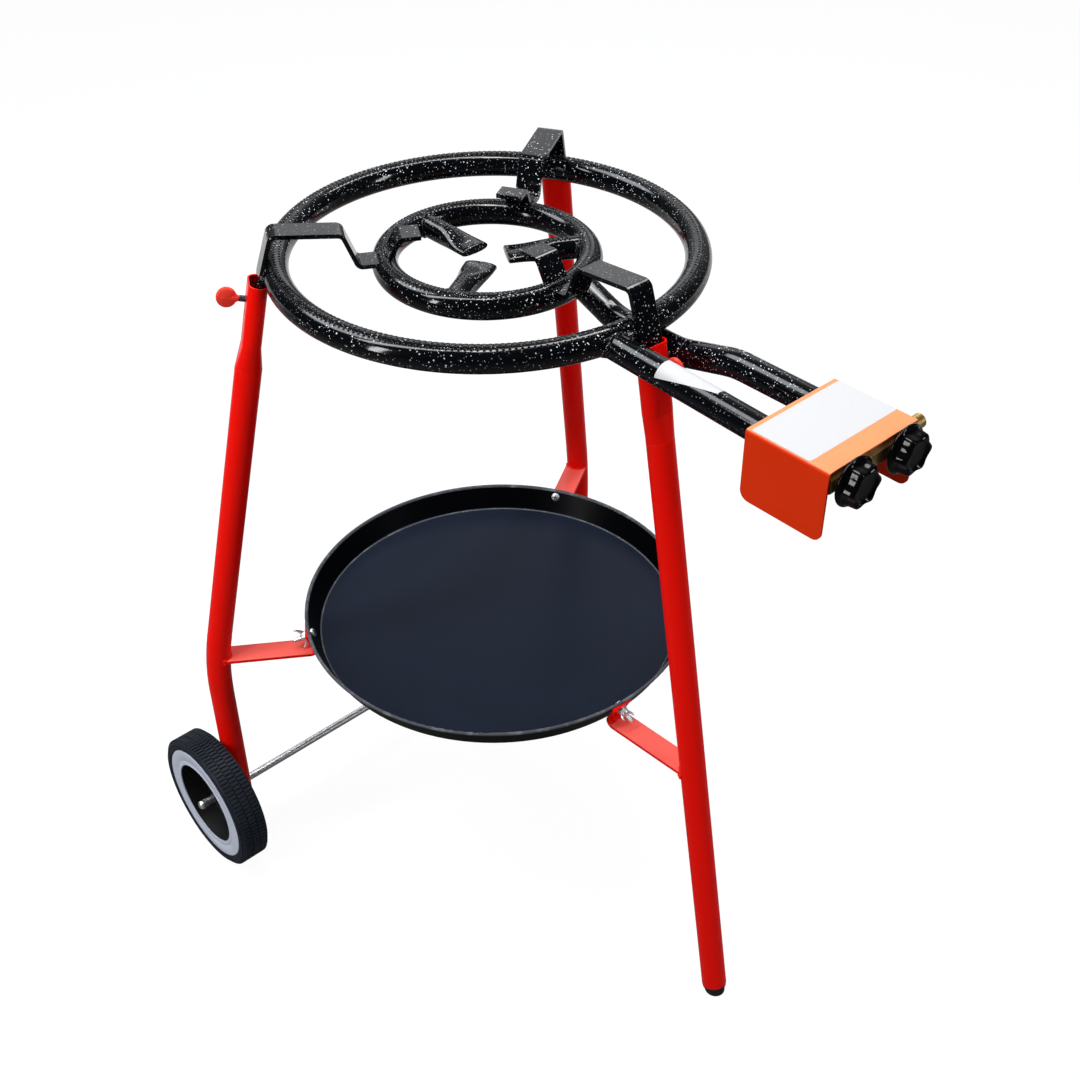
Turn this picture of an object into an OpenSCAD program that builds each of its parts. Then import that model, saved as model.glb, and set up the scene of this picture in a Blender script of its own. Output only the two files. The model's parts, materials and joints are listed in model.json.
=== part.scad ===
// Two-ring propane burner on a three-legged wheeled stand with an ember tray.
// +X is to the right when facing the knobs, +Y points away from the knobs, +Z is up.
// The floor is z = 0 and the origin is under the middle of the whole stand.

/* [Stand] */
// Height of the burner's ring plane above the floor
ring_h = 700; // [680:10:740]
// Slope of each leg from the vertical, in degrees
leg_splay = 12.5; // [11:0.5:13]
// Sideways lean of the front leg, in degrees
front_lean = 1.8; // [0:0.1:2.5]
// Distance from the burner's axis to a leg's centreline in the ring plane
leg_reach = 202.5; // [200:0.5:206]
// Outer diameter of a leg tube
leg_d = 25; // [24:0.5:26]
// Wall of a leg tube
leg_wall = 1.5; // [1:0.1:2]
// Length of the pressed flat mouth that takes the burner's tongue
mouth_len = 61; // [50:1:70]
// Radial size of the pressed flat mouth
mouth_radial = 17.5; // [16:0.5:19]
// Tangential size of the pressed flat mouth
mouth_tangential = 30; // [29.5:0.5:31]
// Centreline radius of the bend in each rear leg
leg_bend_r = 350; // [250:10:400]
// Height of the gap between the front tube's end and the floor
foot_gap = 9.5; // [8:0.5:12]

/* [Burner] */
// Outside diameter of the outer ring
outer_ring_d = 400; // [396:1:402]
// Tube diameter of the outer ring
outer_tube_d = 24; // [23:0.5:25]
// Centreline radius of the inner ring
inner_ring_r = 91.7; // [88:0.1:94]
// Tube diameter of the inner ring
inner_tube_d = 23.6; // [23:0.1:24]
// How far the inner ring hangs below the outer ring
inner_drop = 6; // [5:0.5:8]
// Wall of the ring and feed tubes
tube_wall = 2; // [1.5:0.1:2.5]
// Diameter of the gas ports
port_d = 2.6; // [2:0.1:3]
// Number of gas ports in the outer ring
outer_ports = 60; // [24:6:60]
// Number of gas ports in the inner ring
inner_ports = 36; // [12:12:36]
// Diameter of each spoke burner
spoke_d = 21; // [19:0.5:22]
// Width of the pressed fishtail at a spoke's free end
fishtail_w = 30; // [26:0.5:31]

/* [Pan supports] */
// Width of the flat bar
bar_w = 24; // [22:0.5:24]
// Thickness of the flat bar
bar_t = 4; // [3.5:0.1:4]
// Height of the outer supports' high corner above the ring plane
support_rise = 40.5; // [36:0.5:42]
// Height of the inner supports' plateau above the ring plane
plateau_rise = 26; // [24:0.5:28]
// Length of the tongue below the ring plane
tongue_drop = 35; // [30:1:36]

/* [Controls] */
// Width of the valve cover
cover_w = 105; // [102:1:108]
// Depth of the valve cover, front to back
cover_depth = 78; // [76:1:80]
// Height of the valve cover's sides
cover_h = 62; // [56:1:66]
// Sheet thickness of the valve cover
cover_t = 1.5; // [1.2:0.1:2]
// Distance between the knobs' axes
knob_pitch = 60; // [58:0.5:62]
// Diameter of a knob's skirt
knob_d = 41; // [38:0.5:42]
// Diameter of a knob's grip
grip_d = 37; // [34:0.5:38]
// Depth of a knob
knob_depth = 14; // [12:0.5:16]
// Number of flutes round a knob's grip
flutes = 8; // [6:1:10]

/* [Tray] */
// Radius of the tray's rim
tray_r = 201.6; // [198:0.2:203]
// Radius of the tray's flat bottom
tray_floor_r = 190; // [187:0.5:191]
// Height of the tray's wall
tray_h = 25.4; // [22:0.2:28]
// Distance from the ring plane down to the tray's rim
tray_drop = 405.6; // [400:0.2:410]
// Sheet thickness of the tray
tray_t = 1.2; // [1:0.1:1.5]

/* [Wheels] */
// Diameter of a tyre
wheel_d = 156; // [150:1:160]
// Width of a tyre
wheel_w = 32; // [28:1:34]
// Distance of a tyre's outer face from the middle plane
wheel_reach = 305.5; // [305:0.5:308]
// Distance behind the burner's axis of the axle
axle_back = 150; // [149:0.5:151]
// Diameter of the axle rod
axle_d = 8; // [7:0.5:9]

/* [Hidden] */
$fn = 96;

// Bearings of the three legs and of the three spokes, in degrees from +X
bearing_front = 270;
bearing_left = 150;
bearing_right = 30;
bearing_back = 90;
bearing_spoke_left = 210;
bearing_spoke_right = 330;

// Clearances and cutting overshoot
run_gap = 0.05;
press = 0.05;
face_gap = 0.3;
over = 1;
thin = 0.01;
// A bend is this much fuller than the straight runs, and they reach this far into it
bend_fuller = 0.2;
run_lap = 0.2;
// A pressed end is this much thinner than the tube it runs into
hull_step = 0.15;
hull_fn = 32;
slice = 0.5;

// Burner
outer_ring_r = (outer_ring_d - outer_tube_d) / 2;
outer_bore_d = outer_tube_d - 2 * tube_wall;
inner_bore_d = inner_tube_d - 2 * tube_wall;
spoke_tip_r = 17;
spoke_neck_r = 44;
fishtail_t = 9;

// Pan supports, as points (distance from the axis, height above the ring plane)
bar_bend_r = 6;
bend_steps = 5;
slope = tan(leg_splay);
bar_inset = 1;
bar_outside = leg_reach - bar_inset;
support_top = support_rise - bar_t / 2;
support_path = [
    [bar_outside + slope * tongue_drop, -tongue_drop],
    [bar_outside, 0],
    [bar_outside - 12.5, support_top],
    [128, support_top - 5.2],
    [116, 2],
    [94, 2]
];
plateau_top = plateau_rise - bar_t / 2;
inner_support_path = [
    [60, plateau_top],
    [79, plateau_top],
    [93, -1]
];

// Feed pipes, as points (distance in front of the axis, height above the ring plane)
outer_pipe_x = -29.25;
inner_pipe_x = 30.75;
pipe_end = 372;
pipe_bend_r = 70;
pipe_d = 24;
pipe_bore_d = pipe_d - 2 * tube_wall;
valve_z = -10;
outer_pipe_path = [
    [185.7, -3.5],
    [pipe_end, valve_z]
];
inner_pipe_path = [
    [86.6, -8.3],
    [134, -26],
    [210, -26],
    [270, valve_z],
    [pipe_end, valve_z]
];

// Valve cover
cover_x = 1.25;
cover_back = 350.5;
cover_top = valve_z + pipe_d / 2 + cover_t - press;
cover_corner_r = 8.5;
cover_bend_r = 3;
cover_front = cover_back + cover_depth;
notch_h = 24;
notch_depth = 21;

// Manifold, valves, spindles and inlet
manifold_y = 419;
manifold_af = 20;
manifold_left = -48;
manifold_right = 49;
knob_x = 0.75;
valve_d = 16;
gland_af = 15;
gland_end = 15.5;
valve_hex_af = 18;
valve_hex_end = 22;
injector_d = 11;
injector_end = 44;
mixer_plug_end = 53;
jet_d = 7;
jet_end = 60;
air_hole_d = 11;
air_hole_y = 355;
spindle_d = 8;
spindle_start = 11;
spindle_end = 25;
inlet_collar_d = 17;
inlet_d = 12;
inlet_end = 70;
inlet_bore_d = 8;

// Knobs
knob_back = 14.3;
push_travel = 3;
skirt_h = 4;
cavity_d = 27;
cavity_h = 6;
flute_d = 13;
flute_depth = 2;
knob_dish_d = 24;
knob_dish = 1.2;

// Legs
mouth_top = 7.5;
neck_len = 25;
leg_axis_drop = 440;
rear_leg_r = leg_reach + slope * leg_axis_drop;
axle_z = wheel_d / 2 - ring_h;
rear_end = axle_z - 20;
plug_tip_d = 18;
plug_lip = 3;
plug_in = 22;

// Thumb screws
screw_t = 25;
spare_t = 38.5;
screw_d = 6;
spare_d = 5;
screw_collar_d = 8;
screw_collar_h = 7.5;
paddle_w = 19.5;
paddle_h = 18.2;
paddle_t = 6;

// Tray and its arms
tray_top = -tray_drop;
tray_bottom = tray_top - tray_h;
tray_tilt = atan2(tray_r - tray_floor_r, tray_h);
knee_r = 5;
bead_d = 3.4;
arm_t = 3.5;
arm_top = -429.5;
arm_outer_r = 292;
tab_top = -406.5;

// Offset of each arm at the tray and its turn about that point, as [mm, degrees]
front_arm = [-16, 2.8];
left_arm = [7, -4.4];
right_arm = [-2.5, 1.6];
tray_bolt_z = -412;
tray_bolt_d = 5;
tray_hole_d = 5.4;
tray_bolt_len = 20;
bolt_head_d = 10;
bolt_head_h = 3.2;
washer_d = 12;
washer_t = 1.2;
wing_span = 24;
wing_hub_d = 9;
wing_hub_h = 6;
wing_h = 11;
wing_t = 2;

// Wheels
tyre_bead_r = 64;
tyre_shoulder_r = 5;
groove_w = 1.6;
groove_depth = 1.4;
trim_outer_r = 66.2;
trim_inner_r = 47.7;
trim_t = 1.6;
barrel_t = 2.6;
web_t = 3;
web_z = 4;
boss_d = 22;
boss_h = 13;
hub_gap = 1.2;
cap_d = 13;
cap_h = 4.5;
cap_skirt = 4;
axle_len = 2 * (wheel_reach + 5);

// The stand reaches from the knobs' fronts to the backs of the tyres
knob_front = manifold_y + knob_back + knob_depth;
axis_y = (knob_front - (axle_back + wheel_d / 2)) / 2;

function unit(v) = v / norm(v);
function heading(v) = atan2(v.y, v.x);
function left_of(v) = [-v.y, v.x];

// Half the angle between the two runs that meet at point i of a path
function half_angle(p, i) = acos(unit(p[i - 1] - p[i]) * unit(p[i + 1] - p[i])) / 2;
function bend_centre(p, i, r) =
    p[i] + unit(unit(p[i - 1] - p[i]) + unit(p[i + 1] - p[i])) * r / sin(half_angle(p, i));
// Length that a bend of radius r takes from each run at point i
function bend_setback(p, i, r) = r / tan(half_angle(p, i));

// Points of a path with every inner corner rounded to radius r
function corner_points(p, i, r) =
    let (
        centre = bend_centre(p, i, r),
        setback = bend_setback(p, i, r),
        first = p[i] + unit(p[i - 1] - p[i]) * setback - centre,
        last = p[i] + unit(p[i + 1] - p[i]) * setback - centre
    )
    [for (k = [0 : bend_steps]) centre + r * unit(first * (bend_steps - k) + last * k)];
function rounded(p, r) = [
    p[0],
    for (i = [1 : len(p) - 2]) each corner_points(p, i, r),
    p[len(p) - 1]
];

// Outline of a strip of thickness t along a path
function side_of(p, i) = left_of(unit(p[min(i + 1, len(p) - 1)] - p[max(i - 1, 0)]));
function strip(p, t) = [
    for (i = [0 : len(p) - 1]) p[i] + side_of(p, i) * t / 2,
    for (i = [len(p) - 1 : -1 : 0]) p[i] - side_of(p, i) * t / 2
];

// Moves from the burner's axis in the ring plane to the floor under the stand's middle
module from_ring() {
    translate([0, axis_y, ring_h]) children();
}

// Turns a shape drawn along +X to a bearing round the burner's axis
module at_bearing(bearing) {
    from_ring() rotate([0, 0, bearing]) children();
}

// Flat bar bent along a path in the local XZ plane
module bent_bar(path, width, t, r) {
    rotate([90, 0, 0])
        linear_extrude(width, center = true)
            polygon(strip(rounded(path, r), t));
}

// Round tube bent along a path in the local XZ plane
module bent_tube(path, r, d, bore) {
    last = len(path) - 1;
    for (i = [0 : last - 1]) {
        run = path[i + 1] - path[i];
        start = i == 0 ? 0 : bend_setback(path, i, r);
        stop = i == last - 1 ? 0 : bend_setback(path, i + 1, r);
        foot = path[i] + unit(run) * start;
        translate([foot.x, 0, foot.y])
            rotate([0, 90 - heading(run), 0])
                translate([0, 0, i == 0 ? 0 : -run_lap])
                    linear_extrude(norm(run) - start - stop + (last > 1 ? 2 * run_lap : 0))
                        annulus(d, bore);
    }
    if (last > 1)
        for (i = [1 : last - 1])
            tube_bend(path, i, r, d, bore);
}

module tube_bend(path, i, r, d, bore) {
    centre = bend_centre(path, i, r);
    setback = bend_setback(path, i, r);
    before = path[i] + unit(path[i - 1] - path[i]) * setback - centre;
    after = path[i] + unit(path[i + 1] - path[i]) * setback - centre;
    first = cross(before, after) > 0 ? before : after;
    translate([centre.x, 0, centre.y])
        rotate([90, 0, 0])
            rotate([0, 0, heading(first)])
                rotate_extrude(angle = 180 - 2 * half_angle(path, i))
                    translate([r, 0])
                        annulus(d + bend_fuller, bore > 0 ? bore - bend_fuller : 0);
}

module annulus(d, bore) {
    difference() {
        circle(d = d);
        if (bore > 0)
            circle(d = bore);
    }
}

// Hexagonal bar with its axis along +Z
module hex_bar(af, h) {
    cylinder(d = af / cos(30), h = h, $fn = 6);
}

// Burner

module ring_solid(r, d) {
    rotate_extrude()
        translate([r, 0]) circle(d = d);
}

module outer_ring_solid() {
    ring_solid(outer_ring_r, outer_tube_d);
}

module inner_ring_solid() {
    translate([0, 0, -inner_drop]) ring_solid(inner_ring_r, inner_tube_d);
}

// Ring tube with a row of gas ports along its top
module burner_ring(r, d, bore, ports) {
    difference() {
        rotate_extrude()
            translate([r, 0]) annulus(d, bore);
        for (i = [0 : ports - 1])
            rotate([0, 0, (i + 0.5) * 360 / ports])
                translate([r, 0, 0]) cylinder(d = port_d, h = d);
    }
}

module outer_ring() {
    color("#17181b")
        from_ring()
            burner_ring(outer_ring_r, outer_tube_d, outer_bore_d, outer_ports);
}

module inner_ring() {
    color("#17181b")
        from_ring()
            translate([0, 0, -inner_drop])
                burner_ring(inner_ring_r, inner_tube_d, inner_bore_d, inner_ports);
}

// Tube from the inner ring towards the middle, pressed to a fishtail at its free end
module spoke(bearing) {
    color("#17181b")
        at_bearing(bearing)
            difference() {
                translate([0, 0, -inner_drop]) {
                    translate([spoke_neck_r, 0, 0])
                        rotate([0, 90, 0])
                            linear_extrude(inner_ring_r - spoke_neck_r)
                                annulus(spoke_d, spoke_d - 2 * tube_wall);
                    spoke_tail();
                }
                inner_ring_solid();
            }
}

module spoke_tail() {
    hull() {
        translate([spoke_neck_r - slice, 0, 0])
            rotate([0, 90, 0])
                cylinder(d = spoke_d - 2 * hull_step, h = slice, $fn = hull_fn);
        for (side = [-1, 1])
            translate([spoke_tip_r, side * (fishtail_w - fishtail_t) / 2, 0])
                rotate([0, 90, 0])
                    cylinder(d = fishtail_t, h = slice, $fn = hull_fn);
    }
}

// Pan supports

module outer_support(bearing) {
    color("#17181b")
        at_bearing(bearing)
            difference() {
                bent_bar(support_path, bar_w, bar_t, bar_bend_r);
                outer_ring_solid();
                inner_ring_solid();
            }
}

module inner_support(bearing) {
    color("#17181b")
        at_bearing(bearing)
            difference() {
                bent_bar(inner_support_path, bar_w, bar_t, bar_bend_r);
                inner_ring_solid();
            }
}

// Feed pipes

module feed_pipe(x, path) {
    from_ring()
        translate([x, 0, 0])
            rotate([0, 0, bearing_front])
                bent_tube(path, pipe_bend_r, pipe_d, pipe_bore_d);
}

// Hole across a feed pipe's mouth that lets the primary air in behind the jet
module air_hole(x) {
    from_ring()
        translate([x, -air_hole_y, valve_z])
            rotate([0, 90, 0])
                cylinder(d = air_hole_d, h = 2 * pipe_d, center = true);
}

module outer_feed_pipe() {
    color("#17181b")
        difference() {
            feed_pipe(outer_pipe_x, outer_pipe_path);
            from_ring() outer_ring_solid();
            air_hole(outer_pipe_x);
        }
}

module inner_feed_pipe() {
    color("#17181b")
        difference() {
            feed_pipe(inner_pipe_x, inner_pipe_path);
            from_ring() inner_ring_solid();
            air_hole(inner_pipe_x);
        }
}

// Controls

// Folded sheet cover, open at the front, the back and below
module valve_cover() {
    color("#d9432a")
        from_ring()
            translate([cover_x, -cover_front, cover_top])
                difference() {
                    rotate([-90, 0, 0])
                        linear_extrude(cover_depth)
                            cover_section();
                    for (end = [0, 1])
                        cover_corner(end);
                    translate([cover_w / 2 - 2 * cover_t, -over, -cover_top + valve_z - notch_h / 2])
                        cube([4 * cover_t, notch_depth + over, notch_h]);
                }
}

module cover_section() {
    difference() {
        cover_outline(cover_w, cover_h, cover_bend_r);
        translate([0, cover_t])
            cover_outline(cover_w - 2 * cover_t, cover_h, cover_bend_r - cover_t);
    }
}

module cover_outline(w, h, r) {
    translate([-w / 2, r]) square([w, h - r]);
    translate([r - w / 2, 0]) square([w - 2 * r, r + thin]);
    for (side = [-1, 1])
        translate([side * (w / 2 - r), r]) circle(r = r);
}

// Rounds one lower corner of both side walls
module cover_corner(end) {
    translate([0, end * cover_depth, -cover_h])
        mirror([0, end, 0])
            rotate([90, 0, 90])
                linear_extrude(cover_w + 2 * over, center = true)
                    difference() {
                        translate([-over, -over]) square(cover_corner_r + over);
                        translate([cover_corner_r, cover_corner_r]) circle(r = cover_corner_r);
                    }
}

// Frame with +Z along a valve's axis towards the front and its origin in the manifold's middle
module at_valve(side) {
    from_ring()
        translate([knob_x + side * knob_pitch / 2, -manifold_y, valve_z])
            rotate([90, 0, 0]) children();
}

module manifold() {
    color("#c9a24a")
        difference() {
            from_ring()
                translate([manifold_left, -manifold_y, valve_z])
                    rotate([0, 90, 0])
                        hex_bar(manifold_af, manifold_right - manifold_left);
            for (side = [-1, 1])
                at_valve(side)
                    cylinder(d = valve_d, h = 2 * manifold_af, center = true);
        }
}

module gas_inlet() {
    collar_end = manifold_right + 8;
    color("#c9a24a")
        from_ring()
            translate([0, -manifold_y, valve_z])
                rotate([0, 90, 0])
                    difference() {
                        union() {
                            translate([0, 0, manifold_right])
                                cylinder(d = inlet_collar_d, h = collar_end - manifold_right);
                            translate([0, 0, collar_end])
                                cylinder(d = inlet_d, h = inlet_end - collar_end);
                        }
                        translate([0, 0, manifold_right + cover_t])
                            cylinder(d = inlet_bore_d, h = inlet_end);
                    }
}

// Tap body with its gland in front and its injector behind, inside the feed pipe's mouth
module valve(side) {
    color("#c9a24a")
        at_valve(side)
            difference() {
                union() {
                    translate([0, 0, -manifold_af / 2])
                        cylinder(d = valve_d, h = manifold_af);
                    translate([0, 0, manifold_af / 2])
                        hex_bar(gland_af, gland_end - manifold_af / 2);
                    translate([0, 0, -valve_hex_end])
                        hex_bar(valve_hex_af, valve_hex_end - manifold_af / 2);
                    translate([0, 0, -injector_end])
                        cylinder(d = injector_d, h = injector_end - valve_hex_end);
                    translate([0, 0, -mixer_plug_end])
                        cylinder(d = pipe_bore_d, h = mixer_plug_end - injector_end);
                    translate([0, 0, -jet_end])
                        cylinder(d1 = jet_d / 2, d2 = jet_d, h = jet_end - injector_end);
                }
                translate([0, 0, spindle_start - push_travel - face_gap])
                    cylinder(d = spindle_d + 2 * run_gap, h = gland_end);
            }
}

module spindle(side) {
    color("#c9a24a")
        at_valve(side)
            translate([0, 0, spindle_start])
                cylinder(d = spindle_d, h = spindle_end - spindle_start);
}

module knob(side) {
    color("#0d0d0e")
        at_valve(side)
            translate([0, 0, knob_back])
                difference() {
                    union() {
                        cylinder(d1 = knob_d - 1, d2 = knob_d, h = skirt_h / 2);
                        translate([0, 0, skirt_h / 2])
                            cylinder(d1 = knob_d, d2 = grip_d + 1, h = skirt_h / 2);
                        translate([0, 0, skirt_h])
                            knob_grip();
                    }
                    translate([0, 0, -over])
                        cylinder(d = cavity_d, h = cavity_h + over);
                    cylinder(d = spindle_d + 2 * run_gap, h = spindle_end - knob_back + face_gap);
                }
}

module knob_grip() {
    grip_h = knob_depth - skirt_h;
    rim = 1.5;
    difference() {
        union() {
            cylinder(d = grip_d, h = grip_h - rim);
            translate([0, 0, grip_h - rim])
                cylinder(d1 = grip_d, d2 = grip_d - 2 * rim, h = rim);
        }
        for (i = [0 : flutes - 1])
            rotate([0, 0, (i + 0.5) * 360 / flutes])
                translate([(grip_d + flute_d) / 2 - flute_depth, 0, over / 2])
                    cylinder(d = flute_d, h = grip_h);
        translate([0, 0, grip_h - knob_dish])
            cylinder(d1 = knob_dish_d - 2 * knob_dish, d2 = knob_dish_d, h = knob_dish + thin);
    }
}

// Legs

// Frame on a leg's centreline: +Z runs down the leg and +X points inwards
module at_leg(bearing, lean) {
    at_bearing(bearing)
        rotate([-lean, 0, 0])
            translate([leg_reach, 0, 0])
                rotate([0, 180 - leg_splay, 0]) children();
}

module mouth_section(radial, tangential) {
    square([radial, tangential - radial], center = true);
    for (side = [-1, 1])
        translate([0, side * (tangential - radial) / 2]) circle(d = radial);
}

// Neck from a slice of the mouth's section to a slice of the round tube below it
module neck_hull(d, step) {
    radial = mouth_radial - leg_d + d + 2 * step;
    hull() {
        for (side = [-1, 1])
            translate([0, side * (mouth_tangential - mouth_radial) / 2, mouth_top + mouth_len])
                cylinder(d = radial, h = slice, $fn = hull_fn);
        translate([0, 0, mouth_top + mouth_len + neck_len - slice])
            cylinder(d = d + 2 * step, h = slice, $fn = hull_fn);
    }
}

// Pressed mouth and neck at the top of a leg, with the screw's hole and a spare hole
module leg_mouth() {
    bore_radial = mouth_radial - 2 * leg_wall;
    bore_tangential = mouth_tangential - 2 * leg_wall;
    difference() {
        translate([0, 0, mouth_top])
            linear_extrude(mouth_len)
                difference() {
                    mouth_section(mouth_radial, mouth_tangential);
                    mouth_section(bore_radial, bore_tangential);
                }
        translate([0, 0, screw_t])
            rotate([0, -90, 0]) cylinder(d = screw_d + 2 * run_gap, h = mouth_radial);
        translate([0, 0, spare_t])
            rotate([0, -90, 0]) cylinder(d = spare_d, h = mouth_radial);
    }
    difference() {
        neck_hull(leg_d, -hull_step);
        neck_hull(leg_d - 2 * leg_wall, hull_step);
    }
}

// Point at distance t down a leg's centreline, as (distance from the axis, height)
function leg_point(t) = [leg_reach + t * sin(leg_splay), -t * cos(leg_splay)];
tube_start = mouth_top + mouth_len + neck_len;
rear_leg_path = [leg_point(tube_start), [rear_leg_r, -leg_axis_drop], [rear_leg_r, rear_end]];
rear_setback = bend_setback(rear_leg_path, 1, leg_bend_r);
front_leg_len = (ring_h - foot_gap) / cos(front_lean) / cos(leg_splay);

// Straight run of leg tube between two heights
module leg_run(start, end) {
    translate([0, 0, start])
        linear_extrude(end - start)
            annulus(leg_d, leg_d - 2 * leg_wall);
}

module rear_leg(bearing) {
    color("#d81e1a")
        difference() {
            union() {
                at_leg(bearing, 0) {
                    leg_mouth();
                    leg_run(tube_start, leg_axis_drop / cos(leg_splay) - rear_setback + run_lap);
                }
                at_bearing(bearing) {
                    tube_bend(rear_leg_path, 1, leg_bend_r, leg_d, leg_d - 2 * leg_wall);
                    translate([rear_leg_r, 0, 0])
                        leg_run(rear_end, run_lap - leg_axis_drop - rear_setback);
                }
            }
            axle_rod(axle_d);
        }
}

module leg_front() {
    color("#d81e1a")
        at_leg(bearing_front, front_lean) {
            leg_mouth();
            leg_run(tube_start, front_leg_len);
        }
}

// Rubber plug in the front leg's end, cut level where it meets the floor
module foot_plug() {
    color("#141414")
        intersection() {
            at_leg(bearing_front, front_lean) {
                translate([0, 0, front_leg_len - plug_in])
                    cylinder(d = leg_d - 2 * leg_wall, h = plug_in + over);
                translate([0, 0, front_leg_len])
                    cylinder(d = leg_d - 1, h = plug_lip);
                translate([0, 0, front_leg_len + plug_lip - over])
                    cylinder(d1 = leg_d - 3, d2 = plug_tip_d, h = 2 * foot_gap);
            }
            translate([0, 0, ring_h / 2])
                cube([ring_h, 3 * ring_h, ring_h], center = true);
        }
}

// Clamping screw in the outer wall of a leg's mouth, with a rounded paddle for the fingers
module thumb_screw(bearing, lean) {
    tip_start = bar_t / 2 - bar_inset + face_gap;
    collar_start = mouth_radial / 2 + face_gap;
    paddle_start = collar_start + screw_collar_h;
    color("#d81e1a")
        at_leg(bearing, lean)
            translate([0, 0, screw_t])
                rotate([0, -90, 0]) {
                    translate([0, 0, tip_start])
                        cylinder(d = screw_d, h = collar_start - tip_start);
                    translate([0, 0, collar_start])
                        cylinder(d = screw_collar_d, h = screw_collar_h);
                    translate([0, 0, paddle_start])
                        thumb_paddle();
                }
}

module thumb_paddle() {
    rotate([90, 0, 0])
        translate([0, 0, -paddle_t / 2])
            linear_extrude(paddle_t)
                intersection() {
                    translate([0, paddle_h / 2]) circle(d = paddle_w);
                    translate([-paddle_w / 2, 0]) square([paddle_w, paddle_h]);
                }
}

// Tray

tray_path = [[0, tray_bottom + tray_t / 2], [tray_floor_r, tray_bottom + tray_t / 2], [tray_r, tray_top]];

// Frame of a tray arm: shifted and turned about the point where it meets the tray
module at_arm(bearing, place) {
    at_bearing(bearing)
        translate([tray_r, place[0], 0])
            rotate([0, 0, place[1]])
                translate([-tray_r, 0, 0]) children();
}

// Frame at a tray bolt: +Z points out through the wall and the origin is on the wall's outer face
module at_bolt(bearing, place) {
    wall_r = tray_r - (tray_top - tray_bolt_z) * tan(tray_tilt) + tray_t / 2 / cos(tray_tilt);
    at_arm(bearing, place)
        translate([wall_r, 0, tray_bolt_z])
            rotate([0, 90 + tray_tilt, 0]) children();
}

module each_bolt() {
    at_bolt(bearing_front, front_arm) children();
    at_bolt(bearing_left, left_arm) children();
    at_bolt(bearing_right, right_arm) children();
}

module tray() {
    color("#20242b")
        difference() {
            from_ring() {
                rotate_extrude() tray_profile();
                translate([0, 0, tray_top])
                    ring_solid(tray_r + bead_d / 4, bead_d);
            }
            each_bolt()
                cylinder(d = tray_hole_d, h = 4 * bolt_head_h, center = true);
        }
}

module tray_profile() {
    intersection() {
        polygon(strip(rounded(tray_path, knee_r), tray_t));
        translate([0, tray_bottom - over]) square([2 * tray_r, 2 * tray_h]);
    }
}

module tray_screws() {
    color("#b9bcc0")
        each_bolt() {
            translate([0, 0, -tray_t])
                cylinder(d = tray_bolt_d, h = tray_bolt_len + tray_t);
            translate([0, 0, -tray_t - bolt_head_h])
                cylinder(d1 = bolt_head_d - bolt_head_h, d2 = bolt_head_d, h = bolt_head_h);
        }
}

// Arm from a leg to the tray, with its inner end bent up against the tray's wall
module tray_arm(bearing, place) {
    tab_off = (tray_t / 2 + arm_t / 2 - press) / cos(tray_tilt);
    corner_z = arm_top - arm_t / 2;
    path = [
        [arm_outer_r, corner_z],
        [tray_r + tab_off - (tray_top - corner_z) * tan(tray_tilt), corner_z],
        [tray_r + tab_off - (tray_top - tab_top) * tan(tray_tilt), tab_top]
    ];
    difference() {
        at_arm(bearing, place) bent_bar(path, bar_w, arm_t, bar_bend_r);
        at_bolt(bearing, place)
            translate([0, 0, -over])
                cylinder(d = tray_bolt_d + 2 * run_gap, h = 4 * arm_t);
    }
}

module rear_tray_arm(bearing, place) {
    color("#d81e1a")
        difference() {
            tray_arm(bearing, place);
            at_bearing(bearing)
                bent_tube(rear_leg_path, leg_bend_r, leg_d, 0);
        }
}

module front_tray_arm() {
    color("#d81e1a")
        difference() {
            tray_arm(bearing_front, front_arm);
            at_leg(bearing_front, front_lean)
                cylinder(d = leg_d, h = front_leg_len);
        }
}

module tray_washers() {
    color("#b9bcc0")
        each_bolt()
            translate([0, 0, arm_t - press])
                linear_extrude(washer_t)
                    annulus(washer_d, tray_bolt_d + 2 * run_gap);
}

module wing_nut(bearing, place) {
    color("#b9bcc0")
        at_bolt(bearing, place)
            translate([0, 0, arm_t - press + washer_t + face_gap])
                difference() {
                    union() {
                        cylinder(d1 = wing_hub_d + 1, d2 = wing_hub_d - 1, h = wing_hub_h);
                        for (turn = [0, 180])
                            rotate([0, 0, turn]) wing();
                    }
                    translate([0, 0, -over])
                        cylinder(d = tray_bolt_d + 2 * run_gap, h = wing_h + 2 * over);
                }
}

module wing() {
    rotate([90, 0, 0])
        translate([0, 0, -wing_t / 2])
            linear_extrude(wing_t)
                polygon([
                    [tray_bolt_d / 2 + 1, wing_hub_h / 4],
                    [wing_hub_d / 2, wing_hub_h / 4],
                    [wing_span / 2, wing_h * 0.6],
                    [wing_span / 2 - 1, wing_h],
                    [wing_span / 3, wing_h],
                    [tray_bolt_d / 2 + 1, wing_hub_h - 1]
                ]);
}

// Wheels

module axle_rod(d) {
    from_ring()
        translate([0, axle_back, axle_z])
            rotate([0, 90, 0])
                cylinder(d = d, h = axle_len, center = true);
}

// Frame on a wheel's axis: +Z points outwards and the origin is in the tyre's inner face
module at_wheel(side) {
    from_ring()
        translate([side * (wheel_reach - wheel_w), axle_back, axle_z])
            rotate([0, side * 90, 0]) children();
}

module axle() {
    color("#c3c6ca")
        axle_rod(axle_d);
}

module axle_cap(side) {
    start = wheel_w + face_gap;
    color("#c3c6ca")
        at_wheel(side)
            difference() {
                union() {
                    translate([0, 0, start - cap_skirt])
                        cylinder(d = cap_d, h = cap_skirt + 2);
                    translate([0, 0, start + 2])
                        cylinder(d1 = cap_d, d2 = cap_d / 2, h = cap_h);
                }
                cylinder(d = axle_d, h = (axle_len / 2 - wheel_reach) + wheel_w);
            }
}

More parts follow.
